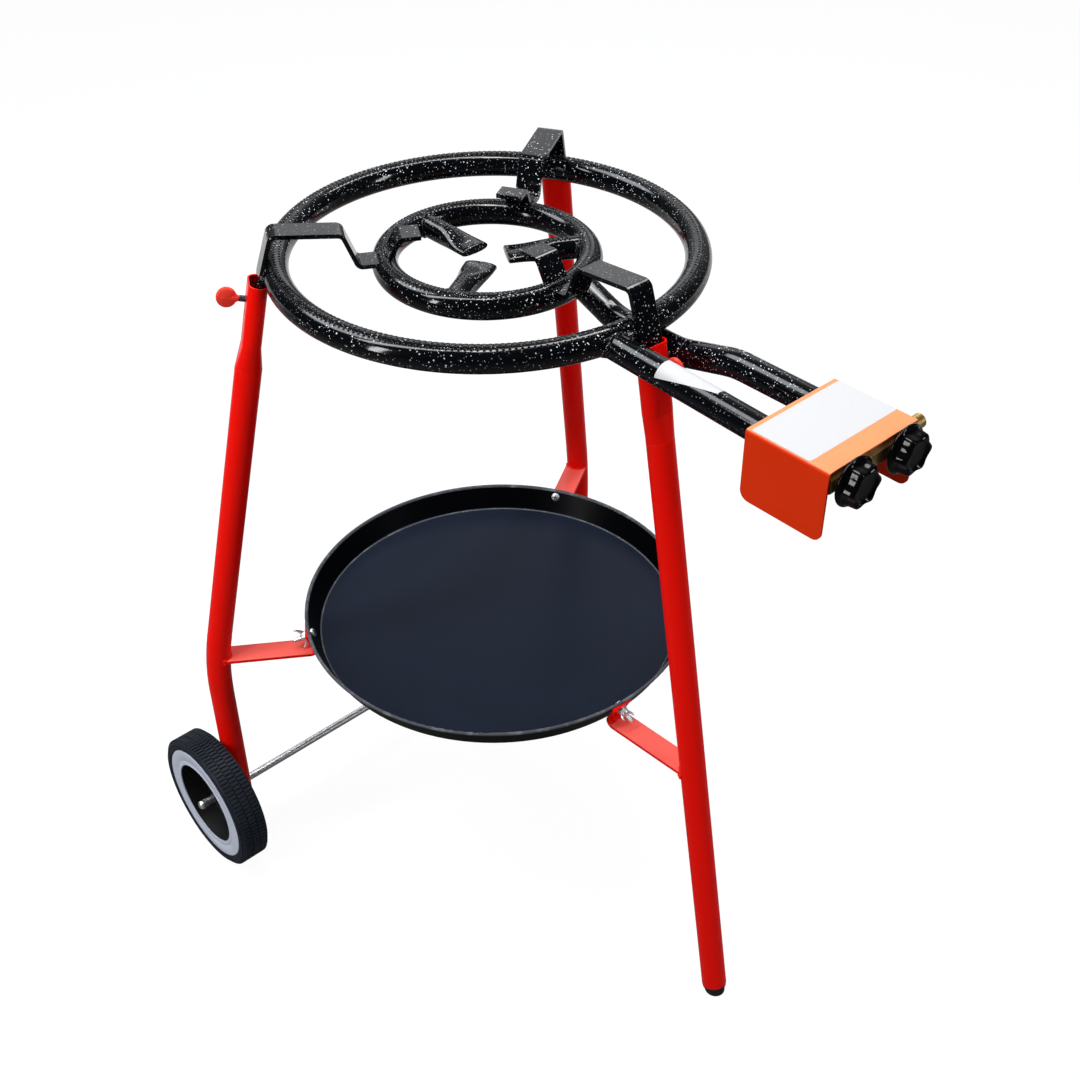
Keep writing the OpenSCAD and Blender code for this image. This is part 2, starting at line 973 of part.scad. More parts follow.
module tyre(side) {
    color("#1b1c20")
        at_wheel(side)
            rotate_extrude()
                difference() {
                    tyre_section();
                    for (k = [-1, 0, 1])
                        translate([wheel_d / 2 - groove_depth, wheel_w / 2 + k * wheel_w / 5 - groove_w / 2])
                            square([2 * groove_depth, groove_w]);
                    translate([tyre_bead_r - over, wheel_w - trim_t])
                        square([trim_outer_r - tyre_bead_r + over, 2 * trim_t]);
                }
}

module tyre_section() {
    depth = wheel_d / 2 - tyre_bead_r;
    r = tyre_shoulder_r;
    translate([tyre_bead_r, 0]) square([depth - r, wheel_w]);
    translate([tyre_bead_r, r]) square([depth, wheel_w - 2 * r]);
    for (z = [r, wheel_w - r])
        translate([wheel_d / 2 - r, z]) circle(r = r);
}

module trim_ring(side) {
    color("#c9cfdb")
        at_wheel(side)
            translate([0, 0, wheel_w - trim_t])
                rotate_extrude()
                    translate([trim_inner_r, 0]) square([trim_outer_r - trim_inner_r, trim_t]);
}

// Moulded wheel body: open bowl with a web and a boss at its inner side
module hub(side) {
    barrel_r = trim_inner_r + barrel_t;
    color("#101114")
        at_wheel(side)
            difference() {
                rotate_extrude() {
                    translate([trim_inner_r, web_z]) square([barrel_t, wheel_w - trim_t - web_z]);
                    translate([0, web_z]) square([trim_inner_r + over, web_t]);
                    translate([0, hub_gap]) square([boss_d / 2, boss_h]);
                    translate([barrel_r - over, wheel_w - trim_t - web_t])
                        square([tyre_bead_r - barrel_r + over, web_t]);
                    translate([barrel_r - over, web_z]) square([tyre_bead_r - barrel_r + over, web_t]);
                }
                translate([0, 0, -over])
                    cylinder(d = axle_d + 2 * run_gap, h = wheel_w);
            }
}

outer_ring();
inner_ring();
spoke(bearing_back);  // spoke_back
spoke(bearing_spoke_left);  // spoke_left
spoke(bearing_spoke_right);  // spoke_right
outer_support(bearing_front);  // outer_support_front
outer_support(bearing_left);  // outer_support_left
outer_support(bearing_right);  // outer_support_right
inner_support(bearing_front);  // inner_support_front
inner_support(bearing_left);  // inner_support_left
inner_support(bearing_right);  // inner_support_right
outer_feed_pipe();
inner_feed_pipe();
valve_cover();
manifold();
gas_inlet();
valve(-1);  // valve_left
valve(1);  // valve_right
spindle(-1);  // spindle_left
spindle(1);  // spindle_right
knob(-1);  // knob_left
knob(1);  // knob_right
leg_front();
rear_leg(bearing_left);  // leg_left
rear_leg(bearing_right);  // leg_right
foot_plug();
thumb_screw(bearing_front, front_lean);  // thumb_screw_front
thumb_screw(bearing_left, 0);  // thumb_screw_left
thumb_screw(bearing_right, 0);  // thumb_screw_right
tray();
tray_screws();
tray_washers();
front_tray_arm();  // tray_arm_front
rear_tray_arm(bearing_left, left_arm);  // tray_arm_left
rear_tray_arm(bearing_right, right_arm);  // tray_arm_right
wing_nut(bearing_front, front_arm);  // wing_nut_front
wing_nut(bearing_left, left_arm);  // wing_nut_left
wing_nut(bearing_right, right_arm);  // wing_nut_right
axle();
axle_cap(-1);  // axle_cap_left
axle_cap(1);  // axle_cap_right
tyre(-1);  // tyre_left
tyre(1);  // tyre_right
trim_ring(-1);  // trim_ring_left
trim_ring(1);  // trim_ring_right
hub(-1);  // hub_left
hub(1);  // hub_right
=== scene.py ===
import json
import math

import bmesh
import bpy
from mathutils import Matrix, Vector


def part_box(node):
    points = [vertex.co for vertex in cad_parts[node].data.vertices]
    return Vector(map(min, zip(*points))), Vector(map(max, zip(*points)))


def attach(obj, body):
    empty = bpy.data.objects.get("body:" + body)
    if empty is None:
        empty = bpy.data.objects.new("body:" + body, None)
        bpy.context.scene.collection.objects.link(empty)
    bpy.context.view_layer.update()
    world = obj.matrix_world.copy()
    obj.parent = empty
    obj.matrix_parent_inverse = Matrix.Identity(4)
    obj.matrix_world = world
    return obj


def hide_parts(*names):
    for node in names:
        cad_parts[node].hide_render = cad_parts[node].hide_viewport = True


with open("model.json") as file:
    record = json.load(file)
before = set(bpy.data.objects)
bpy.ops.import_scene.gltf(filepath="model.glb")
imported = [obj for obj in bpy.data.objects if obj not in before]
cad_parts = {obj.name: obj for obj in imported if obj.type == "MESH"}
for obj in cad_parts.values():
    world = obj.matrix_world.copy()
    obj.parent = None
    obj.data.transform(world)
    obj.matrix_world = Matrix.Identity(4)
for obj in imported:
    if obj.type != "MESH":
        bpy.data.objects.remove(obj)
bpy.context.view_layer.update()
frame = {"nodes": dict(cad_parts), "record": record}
print("frame loaded:", len(frame["nodes"]), "nodes")

# metres and degrees; a drop goes down from the outer ring's plane, a reach goes out from its axis
lowRing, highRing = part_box("outer_ring")
burnerCentre = (lowRing + highRing) / 2
stand = {
    "legReach": 0.2025,
    "legSplay": 12.5,
    "frontLean": 1.8,
    "legRadius": 0.0125,
    "barWidth": 0.024,
    "ringRadius": 0.188,
    "ringTube": 0.012,
    "innerRadius": 0.0917,
    "innerTube": 0.0118,
    "innerDrop": 0.006,
    "pipeRadius": 0.012,
    "valveDrop": 0.010,
    "manifoldForward": 0.419,
    "knobBack": 0.0143,
    "knobMiddle": 0.00075,
    "knobPitch": 0.060,
    "trayRadius": 0.2016,
    "trayFloor": 0.190,
    "trayHeight": 0.0254,
    "trayDrop": 0.4056,
    "traySheet": 0.0012,
    "boltDrop": 0.4120,
    "armDrop": 0.4295,
    "armThick": 0.0035,
    "axleBack": 0.150,
    "axleHeight": 0.078,
    "wheelReach": 0.3055,
    "wheelWidth": 0.032,
}
bearings = {"front": 270, "left": 150, "right": 30}
spokeBearings = {"back": 90, "left": 210, "right": 330}
legLean = {"front": stand["frontLean"], "left": 0, "right": 0}
armPlace = {"front": (-0.016, 2.8), "left": (0.007, -4.4), "right": (-0.0025, 1.6)}  # shift, skew
outerRing = (stand["ringRadius"], stand["ringTube"], 0)
innerRing = (stand["innerRadius"], stand["innerTube"], stand["innerDrop"])


class Wire:
    # an output socket that can stand in a sum
    def __init__(self, graph, socket):
        self.graph = graph
        self.socket = socket

    def maths(self, operation, first, second):
        return self.graph.node("ShaderNodeMath", {"operation": operation}, {0: first, 1: second})

    def __add__(self, other):
        return self.maths("ADD", self, other)

    def __radd__(self, other):
        return self.maths("ADD", other, self)

    def __sub__(self, other):
        return self.maths("SUBTRACT", self, other)

    def __rsub__(self, other):
        return self.maths("SUBTRACT", other, self)

    def __mul__(self, other):
        return self.maths("MULTIPLY", self, other)

    def __rmul__(self, other):
        return self.maths("MULTIPLY", other, self)

    def __truediv__(self, other):
        return self.maths("DIVIDE", self, other)

    def __rtruediv__(self, other):
        return self.maths("DIVIDE", other, self)

    def __pow__(self, other):
        return self.maths("POWER", self, other)

    def __rpow__(self, other):
        return self.maths("POWER", other, self)

    def __gt__(self, other):
        return self.maths("GREATER_THAN", self, other)

    def __lt__(self, other):
        return self.maths("LESS_THAN", self, other)

    def clamped(self):
        return self.graph.node("ShaderNodeClamp", {}, {"Value": self})


class Graph:
    # a node tree; node() sets a node up, fills its inputs and returns one output
    def __init__(self, tree):
        self.tree = tree

    def node(self, kind, settings=None, values=None, out=0):
        made = self.tree.nodes.new(kind)
        for name, value in (settings or {}).items():
            if name == "stops":
                self.setStops(made.color_ramp, value)
            else:
                setattr(made, name, value)
        for key, value in (values or {}).items():
            if isinstance(value, Wire):
                self.tree.links.new(value.socket, made.inputs[key])
            else:
                made.inputs[key].default_value = value
        return Wire(self, made.outputs[out])

    def setStops(self, ramp, stops):
        for element, (position, colour) in zip(ramp.elements, stops):
            element.position = position
            element.color = colour

    def axis(self, index, output="Object"):
        # east, north or up: 0, 1 or 2
        spot = self.node("ShaderNodeTexCoord", out=output)
        return self.node("ShaderNodeSeparateXYZ", {}, {0: spot}, index)

    def seenByEye(self):
        return self.node("ShaderNodeLightPath", out="Is Camera Ray")

    def seenInGloss(self):
        shine = self.node("ShaderNodeLightPath", out="Is Glossy Ray")
        through = self.node("ShaderNodeLightPath", out="Is Transmission Ray")
        return shine + through

    def close(self, kind, label, wire):
        end = self.tree.nodes.new(kind)
        self.tree.links.new(wire.socket, end.inputs[label])


class Finish(Graph):
    # one surface finish: a Principled shader and what varies over it
    def __init__(self, name):
        self.material = bpy.data.materials.new(name)
        self.material.use_nodes = True
        super().__init__(self.material.node_tree)
        self.tree.nodes.clear()

    def place(self, scale=(1, 1, 1)):
        spot = self.node("ShaderNodeTexCoord", out="Object")
        return self.node("ShaderNodeMapping", {}, {"Vector": spot, "Scale": scale})

    def noise(self, scale, detail=3.0, roughness=0.5, place=None):
        values = {"Vector": place or self.place(), "Scale": scale, "Detail": detail, "Roughness": roughness}
        return self.node("ShaderNodeTexNoise", {}, values)

    def mix(self, factor, first, second):
        return self.node("ShaderNodeMix", {"data_type": "RGBA"}, {0: factor, 6: first, 7: second}, 2)

    def ramp(self, value, low, high):
        # low and high: (position, grey)
        stops = [(position, grey(shade)) for position, shade in (low, high)]
        return self.node("ShaderNodeValToRGB", {"stops": stops}, {"Fac": value})

    def bump(self, height, strength, distance, edge=None):
        # a relief on edges rounded to a radius
        values = {"Height": height, "Strength": strength, "Distance": distance}
        if edge:
            values["Normal"] = self.node("ShaderNodeBevel", {"samples": 4}, {"Radius": edge})
        return self.node("ShaderNodeBump", {}, values)

    def specks(self, cell, size, share, smallest=0.55, crispness=12):
        # round dots of a few sizes in a share of the cells
        settings = {"voronoi_dimensions": "3D", "feature": "F1"}
        values = {"Vector": self.place(), "Scale": 1 / cell, "Randomness": 1.0}
        near = self.node("ShaderNodeTexVoronoi", settings, values, "Distance")
        tint = self.node("ShaderNodeTexVoronoi", settings, values, "Color")
        chance, sizing = [self.node("ShaderNodeSeparateColor", {}, {0: tint}, k) for k in (0, 1)]
        edge = (size / cell) * (smallest + (1 - smallest) * sizing)
        return ((edge - near) * crispness).clamped() * (chance < share)

    def surface(self, values):
        shader = self.node("ShaderNodeBsdfPrincipled", {}, values, "BSDF")
        self.close("ShaderNodeOutputMaterial", "Surface", shader)
        return self.material


def grey(value):
    return (value, value, value, 1)


def makeEnamel():
    # black glaze with pale flecks, thick enough to sag a little
    look = {
        "black": (0.0018, 0.0021, 0.0030, 1),
        "fleck": (0.80, 0.84, 0.90, 1),
        "roughness": 0.07,
        "fleckRoughness": 0.18,
        "gloss": 0.32,
        "coarse": {"cell": 0.0027, "size": 0.00084, "share": 0.46},
        "fine": {"cell": 0.0019, "size": 0.00054, "share": 0.32},
        "fineTint": 0.8,
        "fleckRise": 0.06,
    }
    finish = Finish("blackEnamel")
    patch = finish.ramp(finish.noise(scale=10.0, detail=2.0), (0.40, 0.22), (0.60, 1.0))
    coarse = finish.specks(**look["coarse"])
    fine = finish.specks(**look["fine"]) * look["fineTint"]
    fleck = (coarse * patch + fine * patch).clamped()
    relief = finish.noise(scale=48.0, detail=1.0) + look["fleckRise"] * fleck
    haze = finish.noise(scale=220.0)
    return finish.surface({
        "Base Color": finish.mix(fleck, look["black"], look["fleck"]),
        "Roughness": look["roughness"] + look["fleckRoughness"] * fleck + 0.06 * haze,
        "Specular IOR Level": look["gloss"],
        "Normal": finish.bump(relief, strength=0.16, distance=0.0012, edge=0.0008),
    })


def makePaint(name, deep, bright, roughness, grain, gloss, paintedLitTop=None):
    # gloss powder coat with a slight orange peel
    finish = Finish(name)
    cloud = finish.noise(scale=9.0)
    haze = finish.noise(scale=65.0, detail=4.0)
    peel = finish.noise(scale=grain, detail=2.0)
    colour = finish.mix(cloud, deep, bright)
    # painted highlight: a flat top between two heights is mixed towards a paler colour, standing for the
    # light falling on it from above
    if paintedLitTop:  # a flat top, between two heights, is paler than its sides
        height = finish.axis(2)
        above = ((height - paintedLitTop["low"]) * paintedLitTop["crispness"]).clamped()
        below = ((paintedLitTop["high"] - height) * paintedLitTop["crispness"]).clamped()
        colour = finish.mix(above * below, colour, paintedLitTop["pale"])
    return finish.surface({
        "Base Color": colour,
        "Roughness": roughness + 0.10 * haze,
        "Specular IOR Level": gloss,
        "Normal": finish.bump(peel, strength=0.06, distance=0.0008, edge=0.0006),
    })


def makeMetal(name, dull, bright, roughness, brushed):
    # plated or machined metal: fine tool lines and a few dull patches
    finish = Finish(name)
    lines = finish.noise(scale=90.0, detail=4.0, roughness=0.7, place=finish.place(brushed))
    cloud = finish.noise(scale=130.0, detail=2.0)
    return finish.surface({
        "Base Color": finish.mix(cloud, dull, bright),
        "Metallic": 1.0,
        "Roughness": roughness + 0.16 * lines + 0.08 * cloud,
        "Normal": finish.bump(lines, strength=0.14, distance=0.0002, edge=0.0004),
    })


def makePlastic(name, deep, bright, roughness, grain, relief, edge=0.0006, gloss=0.4):
    # moulded plastic or rubber: a fine mould grain and a little dust
    finish = Finish(name)
    dust = finish.ramp(finish.noise(scale=34.0, detail=5.0), (0.42, 0.0), (0.78, 1.0))
    fine = finish.noise(scale=grain)
    haze = finish.noise(scale=80.0)
    return finish.surface({
        "Base Color": finish.mix(dust, deep, bright),
        "Roughness": roughness + 0.12 * haze,
        "Specular IOR Level": gloss,
        "Normal": finish.bump(fine, strength=relief, distance=0.0004, edge=edge),
    })


def makeTrayCoat():
    # the flat bottom is a little dusty and bluish, the wall deep black; a painted highlight, broken up by
    # scuffs, lies as a grey line along the fold and the rim
    look = {
        "dark": (0.0092, 0.0135, 0.025, 1),
        "dusty": (0.0135, 0.0185, 0.0330, 1),
        "wall": (0.0012, 0.0014, 0.0022, 1),
        "wallStart": 0.0003,
        "wallCrispness": 600.0,
        "highlightGrey": (0.15, 0.16, 0.18, 1),
        "edgeHighlight": 0.5,
        "foldStart": 0.0004,
        "foldEnd": 0.0013,
        "rimDepth": 0.0007,
        "roughness": 0.24,
        "gloss": 0.045,
    }
    finish = Finish("trayBlack")
    height = finish.axis(2)
    floorLevel = burnerCentre.z - stand["trayDrop"] - stand["trayHeight"] + stand["traySheet"]
    rimLevel = floorLevel + stand["trayHeight"] - stand["traySheet"]
    wall = ((height - (floorLevel + look["wallStart"])) * look["wallCrispness"]).clamped()
    fold = (height > floorLevel + look["foldStart"]) * (height < floorLevel + look["foldEnd"])
    rim = height > rimLevel - look["rimDepth"]
    cloud = finish.noise(scale=5.0, detail=4.0, roughness=0.6)
    scuff = finish.ramp(finish.noise(scale=60.0, detail=5.0, roughness=0.65), (0.50, 0.0), (0.72, 1.0))
    peel = finish.noise(scale=900.0, detail=2.0)
    bottom = finish.mix(cloud, look["dark"], look["dusty"])
    clean = finish.mix(wall, bottom, look["wall"])
    # painted highlight: a grey line along the fold and the rim, broken up by the scuffs
    edgeHighlight = (fold + rim) * (look["edgeHighlight"] + scuff)
    return finish.surface({
        "Base Color": finish.mix(edgeHighlight, clean, look["highlightGrey"]),
        "Roughness": look["roughness"] + 0.10 * cloud + 0.05 * scuff,
        "Specular IOR Level": look["gloss"],
        "Normal": finish.bump(peel, strength=0.05, distance=0.0003, edge=0.0006),
    })


def makeLabel():
    # plain white sheet with a faint paper grain
    look = {
        "paper": (0.55, 0.555, 0.57, 1),
        "fibre": (0.60, 0.60, 0.61, 1),
        "roughness": 0.34,
        "gloss": 0.2,
    }
    finish = Finish("labelSheet")
    fibre = finish.noise(scale=700.0)
    return finish.surface({
        "Base Color": finish.mix(fibre, look["paper"], look["fibre"]),
        "Roughness": look["roughness"] + 0.1 * fibre,
        "Specular IOR Level": look["gloss"],
        "Normal": finish.bump(fibre, strength=0.04, distance=0.0002),
    })


armTop = burnerCentre.z - stand["armDrop"]
paints = {
    "red_paint": {
        "name": "legRed", "deep": (0.90, 0.0042, 0.0012, 1), "bright": (0.96, 0.0062, 0.0020, 1),
        "roughness": 0.16, "grain": 260.0, "gloss": 0.14,
    },
    "screw_red": {
        "name": "clampRed", "deep": (0.92, 0.045, 0.026, 1), "bright": (0.96, 0.065, 0.040, 1),
        "roughness": 0.18, "grain": 420.0, "gloss": 0.20,
    },
    "orange_paint": {
        "name": "coverOrange", "deep": (0.68, 0.026, 0.002, 1), "bright": (0.76, 0.040, 0.004, 1),
        "roughness": 0.30, "grain": 300.0, "gloss": 0.10,
        # painted highlight: the cover's lit top is mixed to a paler orange
        "paintedLitTop": {
            "low": burnerCentre.z + 0.0024, "high": 1.0, "crispness": 1500.0, "pale": (0.82, 0.29, 0.12, 1),
        },
    },
}
# the tray arms take the leg red with a painted highlight: their flat tops, between two heights, are mixed
# to a paler red
paints["arm_red"] = dict(paints["red_paint"], name="armRed", paintedLitTop={
    "low": armTop - 0.0008, "high": armTop + 0.0006, "crispness": 1500.0, "pale": (0.95, 0.14, 0.11, 1),
})
metals = {
    "brass": {
        "name": "brass", "dull": (0.56, 0.34, 0.10, 1), "bright": (0.86, 0.60, 0.24, 1),
        "roughness": 0.20, "brushed": (1, 9, 9),
    },
    "zinc": {
        "name": "zinc", "dull": (0.82, 0.85, 0.88, 1), "bright": (0.94, 0.96, 0.98, 1),
        "roughness": 0.28, "brushed": (3, 3, 3),
    },
    "shank": {
        "name": "darkShank", "dull": (0.030, 0.030, 0.034, 1), "bright": (0.080, 0.080, 0.088, 1),
        "roughness": 0.30, "brushed": (3, 3, 3),
    },
}
plastics = {
    "knob_plastic": {
        "name": "knobBlack", "deep": (0.0015, 0.0015, 0.0018, 1), "bright": (0.0035, 0.0035, 0.0042, 1),
        "roughness": 0.03, "grain": 90.0, "relief": 0.03, "edge": 0.0004, "gloss": 0.15,
    },
    # grey lips: a painted highlight on the black enamel lip round each port
    "lip": {
        "name": "portLip", "deep": (0.030, 0.032, 0.036, 1), "bright": (0.075, 0.080, 0.090, 1),
        "roughness": 0.30, "grain": 700.0, "relief": 0.10, "edge": 0.0001, "gloss": 0.6,
    },
    # near-black bore discs: painted shade standing in for the dark inside of each port hole
    "bore": {
        "name": "portBore", "deep": (0.0010, 0.0010, 0.0011, 1), "bright": (0.0016, 0.0016, 0.0018, 1),
        "roughness": 0.8, "grain": 900.0, "relief": 0.1, "edge": 0.0001, "gloss": 0.1,
    },
    "foot_rubber": {
        "name": "footRubber", "deep": (0.009, 0.009, 0.010, 1), "bright": (0.020, 0.020, 0.021, 1),
        "roughness": 0.55, "grain": 900.0, "relief": 0.3,
    },
    "tyre_rubber": {
        "name": "tyreRubber", "deep": (0.009, 0.013, 0.020, 1), "bright": (0.018, 0.024, 0.036, 1),
        "roughness": 0.42, "grain": 800.0, "relief": 0.25, "edge": 0.0004, "gloss": 0.2,
    },
    "trim_white": {
        "name": "trimPale", "deep": (0.60, 0.64, 0.76, 1), "bright": (0.67, 0.71, 0.83, 1),
        "roughness": 0.40, "grain": 500.0, "relief": 0.10,
    },
    "hub_plastic": {
        "name": "hubBlack", "deep": (0.005, 0.005, 0.006, 1), "bright": (0.013, 0.013, 0.015, 1),
        "roughness": 0.38, "grain": 600.0, "relief": 0.25,
    },
}
finishes = {"black_enamel": makeEnamel(), "tray_black": makeTrayCoat(), "label": makeLabel()}
for maker, looks in ((makePaint, paints), (makeMetal, metals), (makePlastic, plastics)):
    for slot, look in looks.items():
        finishes[slot] = maker(**look)
for part in frame["record"]["subparts"]:
    piece = frame["nodes"][part["node"]]
    if not piece.material_slots:
        piece.data.materials.append(None)
    slot = "arm_red" if part["node"].startswith("tray_arm") else part["material_slot"]
    for seat in piece.material_slots:
        seat.material = finishes[slot]
print("finishes made:", len(finishes))


def turn(axis, degrees):
    return Matrix.Rotation(math.radians(degrees), 4, axis)


def move(x, y, z):
    return Matrix.Translation((x, y, z))


atBurner = Matrix.Translation(burnerCentre)
inPlace = Matrix.Identity(4)


def atBearing(bearing):
    return atBurner @ turn("Z", bearing)


def atLeg(side):
    # +Z runs down the leg, +X points inwards
    slope = turn("Y", 180 - stand["legSplay"])
    return atBearing(bearings[side]) @ turn("X", -legLean[side]) @ move(stand["legReach"], 0, 0) @ slope


def atTap(hand):
    # +Z points forwards along the tap
    across = stand["knobMiddle"] + hand * stand["knobPitch"] / 2
    return atBurner @ move(across, -stand["manifoldForward"], -stand["valveDrop"]) @ turn("X", 90)


def atWheel(hand):
    # +Z points outwards from the tyre's inner face
    inner = hand * (stand["wheelReach"] - stand["wheelWidth"])
    return move(inner, burnerCentre.y + stand["axleBack"], stand["axleHeight"]) @ turn("Y", hand * 90)


trayTilt = math.degrees(math.atan2(stand["trayRadius"] - stand["trayFloor"], stand["trayHeight"]))


def atBolt(side):
    # +Z points out through the tray's wall, the origin is on its outer face
    shift, skew = armPlace[side]
    rim = stand["trayRadius"]
    lean = math.radians(trayTilt)
    down = stand["boltDrop"] - stand["trayDrop"]
    wall = rim - down * math.tan(lean) + stand["traySheet"] / 2 / math.cos(lean)
    arm = atBearing(bearings[side]) @ move(rim, shift, 0) @ turn("Z", skew) @ move(-rim, 0, 0)
    return arm @ move(wall, 0, -stand["boltDrop"]) @ turn("Y", 90 + trayTilt)


def metres(points):
    # from millimetres
    return [tuple(part / 1000 for part in point) for point in points]


def ease(value, start, end):
    # 0 up to start, 1 from end on
    return min(max((value - start) / (end - start), 0.0), 1.0)


def loft(loops, endless=False, capped=True):
    # faces between loops of equal count; endless joins the last loop to the first
    count = len(loops[0])
    points = [point for loop in loops for point in loop]
    faces = []
    for row in range(len(loops) - (0 if endless else 1)):
        low, high = row * count, (row + 1) % len(loops) * count
        for k in range(count):
            nextK = (k + 1) % count
            faces.append((low + k, low + nextK, high + nextK, high + k))
    if capped and not endless:
        faces.append(tuple(range(count)))
        faces.append(tuple(range(len(points) - count, len(points))))
    return points, faces


def turned(profile, count, endless=False):
    # a lathe shape from (radius, height) points
    rounds = [2 * math.pi * k / count for k in range(count)]
    loops = [[(r * math.cos(a), r * math.sin(a), z) for a in rounds] for r, z in profile]
    return loft(loops, endless, False)


def gathered(shapes):
    # one shape from several closed ones, each at its place
    points, faces = [], []
    for place, (more, joined) in shapes:
        faces += [tuple(index + len(points) for index in face) for face in joined]
        points += [place @ Vector(point) for point in more]
    return points, faces


def oval(halfWide, halfHigh, count, squareness=2.0):
    spots = []
    for k in range(count):
        a = 2 * math.pi * k / count
        across, up = math.cos(a), math.sin(a)
        x = halfWide * math.copysign(abs(across) ** (2 / squareness), across)
        y = halfHigh * math.copysign(abs(up) ** (2 / squareness), up)
        spots.append((x, y))
    return spots


def newObject(name, data):
    made = bpy.data.objects.new(name, data)
    bpy.context.scene.collection.objects.link(made)
    return made


def addPiece(name, mesh, body, slot, *nodes):
    piece = newObject(name, mesh)
    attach(piece, body)
    if nodes:
        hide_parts(*nodes)


def addSolid(name, shape, place, body, slot, *nodes, finish=None, sharp=35):
    # a piece of points and faces, smooth but for edges past the sharp angle
    points, faces = shape
    shell = bmesh.new()
    knots = [shell.verts.new(place @ Vector(point)) for point in points]
    for face in faces:
        shell.faces.new([knots[index] for index in face])
    bmesh.ops.remove_doubles(shell, verts=shell.verts, dist=0.000002)
    bmesh.ops.dissolve_degenerate(shell, edges=shell.edges, dist=0.000001)
    bmesh.ops.recalc_face_normals(shell, faces=shell.faces)
    mesh = bpy.data.meshes.new(name)
    shell.to_mesh(mesh)
    shell.free()
    mesh.polygons.foreach_set("use_smooth", [True] * len(mesh.polygons))
    mesh.set_sharp_from_angle(angle=math.radians(sharp))
    mesh.materials.append(finishes[finish or slot])
    addPiece(name, mesh, body, slot, *nodes)


class Pattern(Graph):
    # a geometry tree with named sizes, ending in real faces of one finish
    def __init__(self, name, sizes):
        super().__init__(bpy.data.node_groups.new(name, "GeometryNodeTree"))
        self.name = name
        faceplate = self.tree.interface
        faceplate.new_socket("Geometry", in_out="INPUT", socket_type="NodeSocketGeometry")
        faceplate.new_socket("Geometry", in_out="OUTPUT", socket_type="NodeSocketGeometry")
        self.sizes = []
        for label, value in sizes.items():
            kind = "NodeSocketInt" if isinstance(value, int) else "NodeSocketFloat"
            socket = faceplate.new_socket(label, in_out="INPUT", socket_type=kind)
            self.sizes.append((socket.identifier, value))
        self.start = self.tree.nodes.new("NodeGroupInput")

    def size(self, label):
        return Wire(self, self.start.outputs[label])

    def join(self, shapes):
        made = self.tree.nodes.new("GeometryNodeJoinGeometry")
        for shape in shapes:
            self.tree.links.new(shape.socket, made.inputs[0])
        return Wire(self, made.outputs[0])

    def smooth(self, shape):
        return self.node("GeometryNodeSetShadeSmooth", {}, {"Geometry": shape})

    def shifted(self, shape, shift, heading=(0, 0, 0)):
        values = {"Geometry": shape, "Translation": shift, "Rotation": heading}
        return self.node("GeometryNodeTransform", {}, values)

    def circle(self, sides, radius):
        return self.node("GeometryNodeCurvePrimitiveCircle", {}, {"Resolution": sides, "Radius": radius})

    def sweep(self, path, section):
        return self.node("GeometryNodeCurveToMesh", {}, {"Curve": path, "Profile Curve": section})

    def hoop(self, sides, radius, beadSides, beadRadius):
        # a round wire bent to a ring
        return self.sweep(self.circle(sides, radius), self.circle(beadSides, beadRadius))

    def scatter(self, shape, scale=(1, 1, 1)):
        # the shape at every given point, its Z along the way that the point faces
        settings = {"data_type": "FLOAT_VECTOR"}
        way = self.node("GeometryNodeInputNamedAttribute", settings, {"Name": "facing"})
        heading = self.node("FunctionNodeAlignRotationToVector", {"axis": "Z"}, {"Vector": way})
        values = {"Points": self.size("Geometry"), "Instance": shape, "Rotation": heading, "Scale": scale}
        return self.node("GeometryNodeInstanceOnPoints", {}, values)

    def finish(self, shape, material):
        solid = self.node("GeometryNodeRealizeInstances", {}, {"Geometry": shape})
        coated = self.node("GeometryNodeSetMaterial", {}, {"Geometry": solid, "Material": material})
        self.close("NodeGroupOutput", "Geometry", coated)

    def grow(self, seed):
        holder = newObject(self.name, seed)
        modifier = holder.modifiers.new(self.name, "NODES")
        modifier.node_group = self.tree
        for identifier, value in self.sizes:
            modifier[identifier] = value
        view = bpy.context.evaluated_depsgraph_get()
        grown = bpy.data.meshes.new_from_object(holder.evaluated_get(view))
        holder.modifiers.remove(modifier)
        bpy.data.objects.remove(holder)
        grown.name = self.name
        return grown


def chosen(table, *labels):
    return {label: table[label] for label in labels}


def spotMesh(name, spots):
    # loose points that carry the way each one faces
    mesh = bpy.data.meshes.new(name)
    mesh.from_pydata([spot for spot, facing in spots], [], [])
    facing = mesh.attributes.new("facing", "FLOAT_VECTOR", "POINT")
    facing.data.foreach_set("vector", [part for spot, way in spots for part in way])
    return mesh


# spokes, pressed flat to a fishtail at the tip; x is the distance from the burner's axis
spoke = {
    "round": 0.0105,
    "halfWide": 0.015,
    "halfThick": 0.0042,
    "tip": 0.017,
    "tipClosing": [(0.0001, 0.62), (0.0003, 0.86), (0.0012, 1.0)],
    "tipNarrowing": 0.12,
    "pressed": 0.024,
    "full": 0.062,
    "stations": [0.021 + 0.003 * k for k in range(20)] + [0.083, 0.088],
    "squareness": 0.5,
    "squareEnd": 0.020,
    "roundStart": 0.060,
    "sides": 40,
}


def spokeSection(x):
    # half width and half thickness
    share = ease(x, spoke["pressed"], spoke["full"])
    share = share * share * (3 - 2 * share)
    wide = spoke["halfWide"] + (spoke["round"] - spoke["halfWide"]) * share
    thick = spoke["halfThick"] + (spoke["round"] - spoke["halfThick"]) * share
    return wide, thick


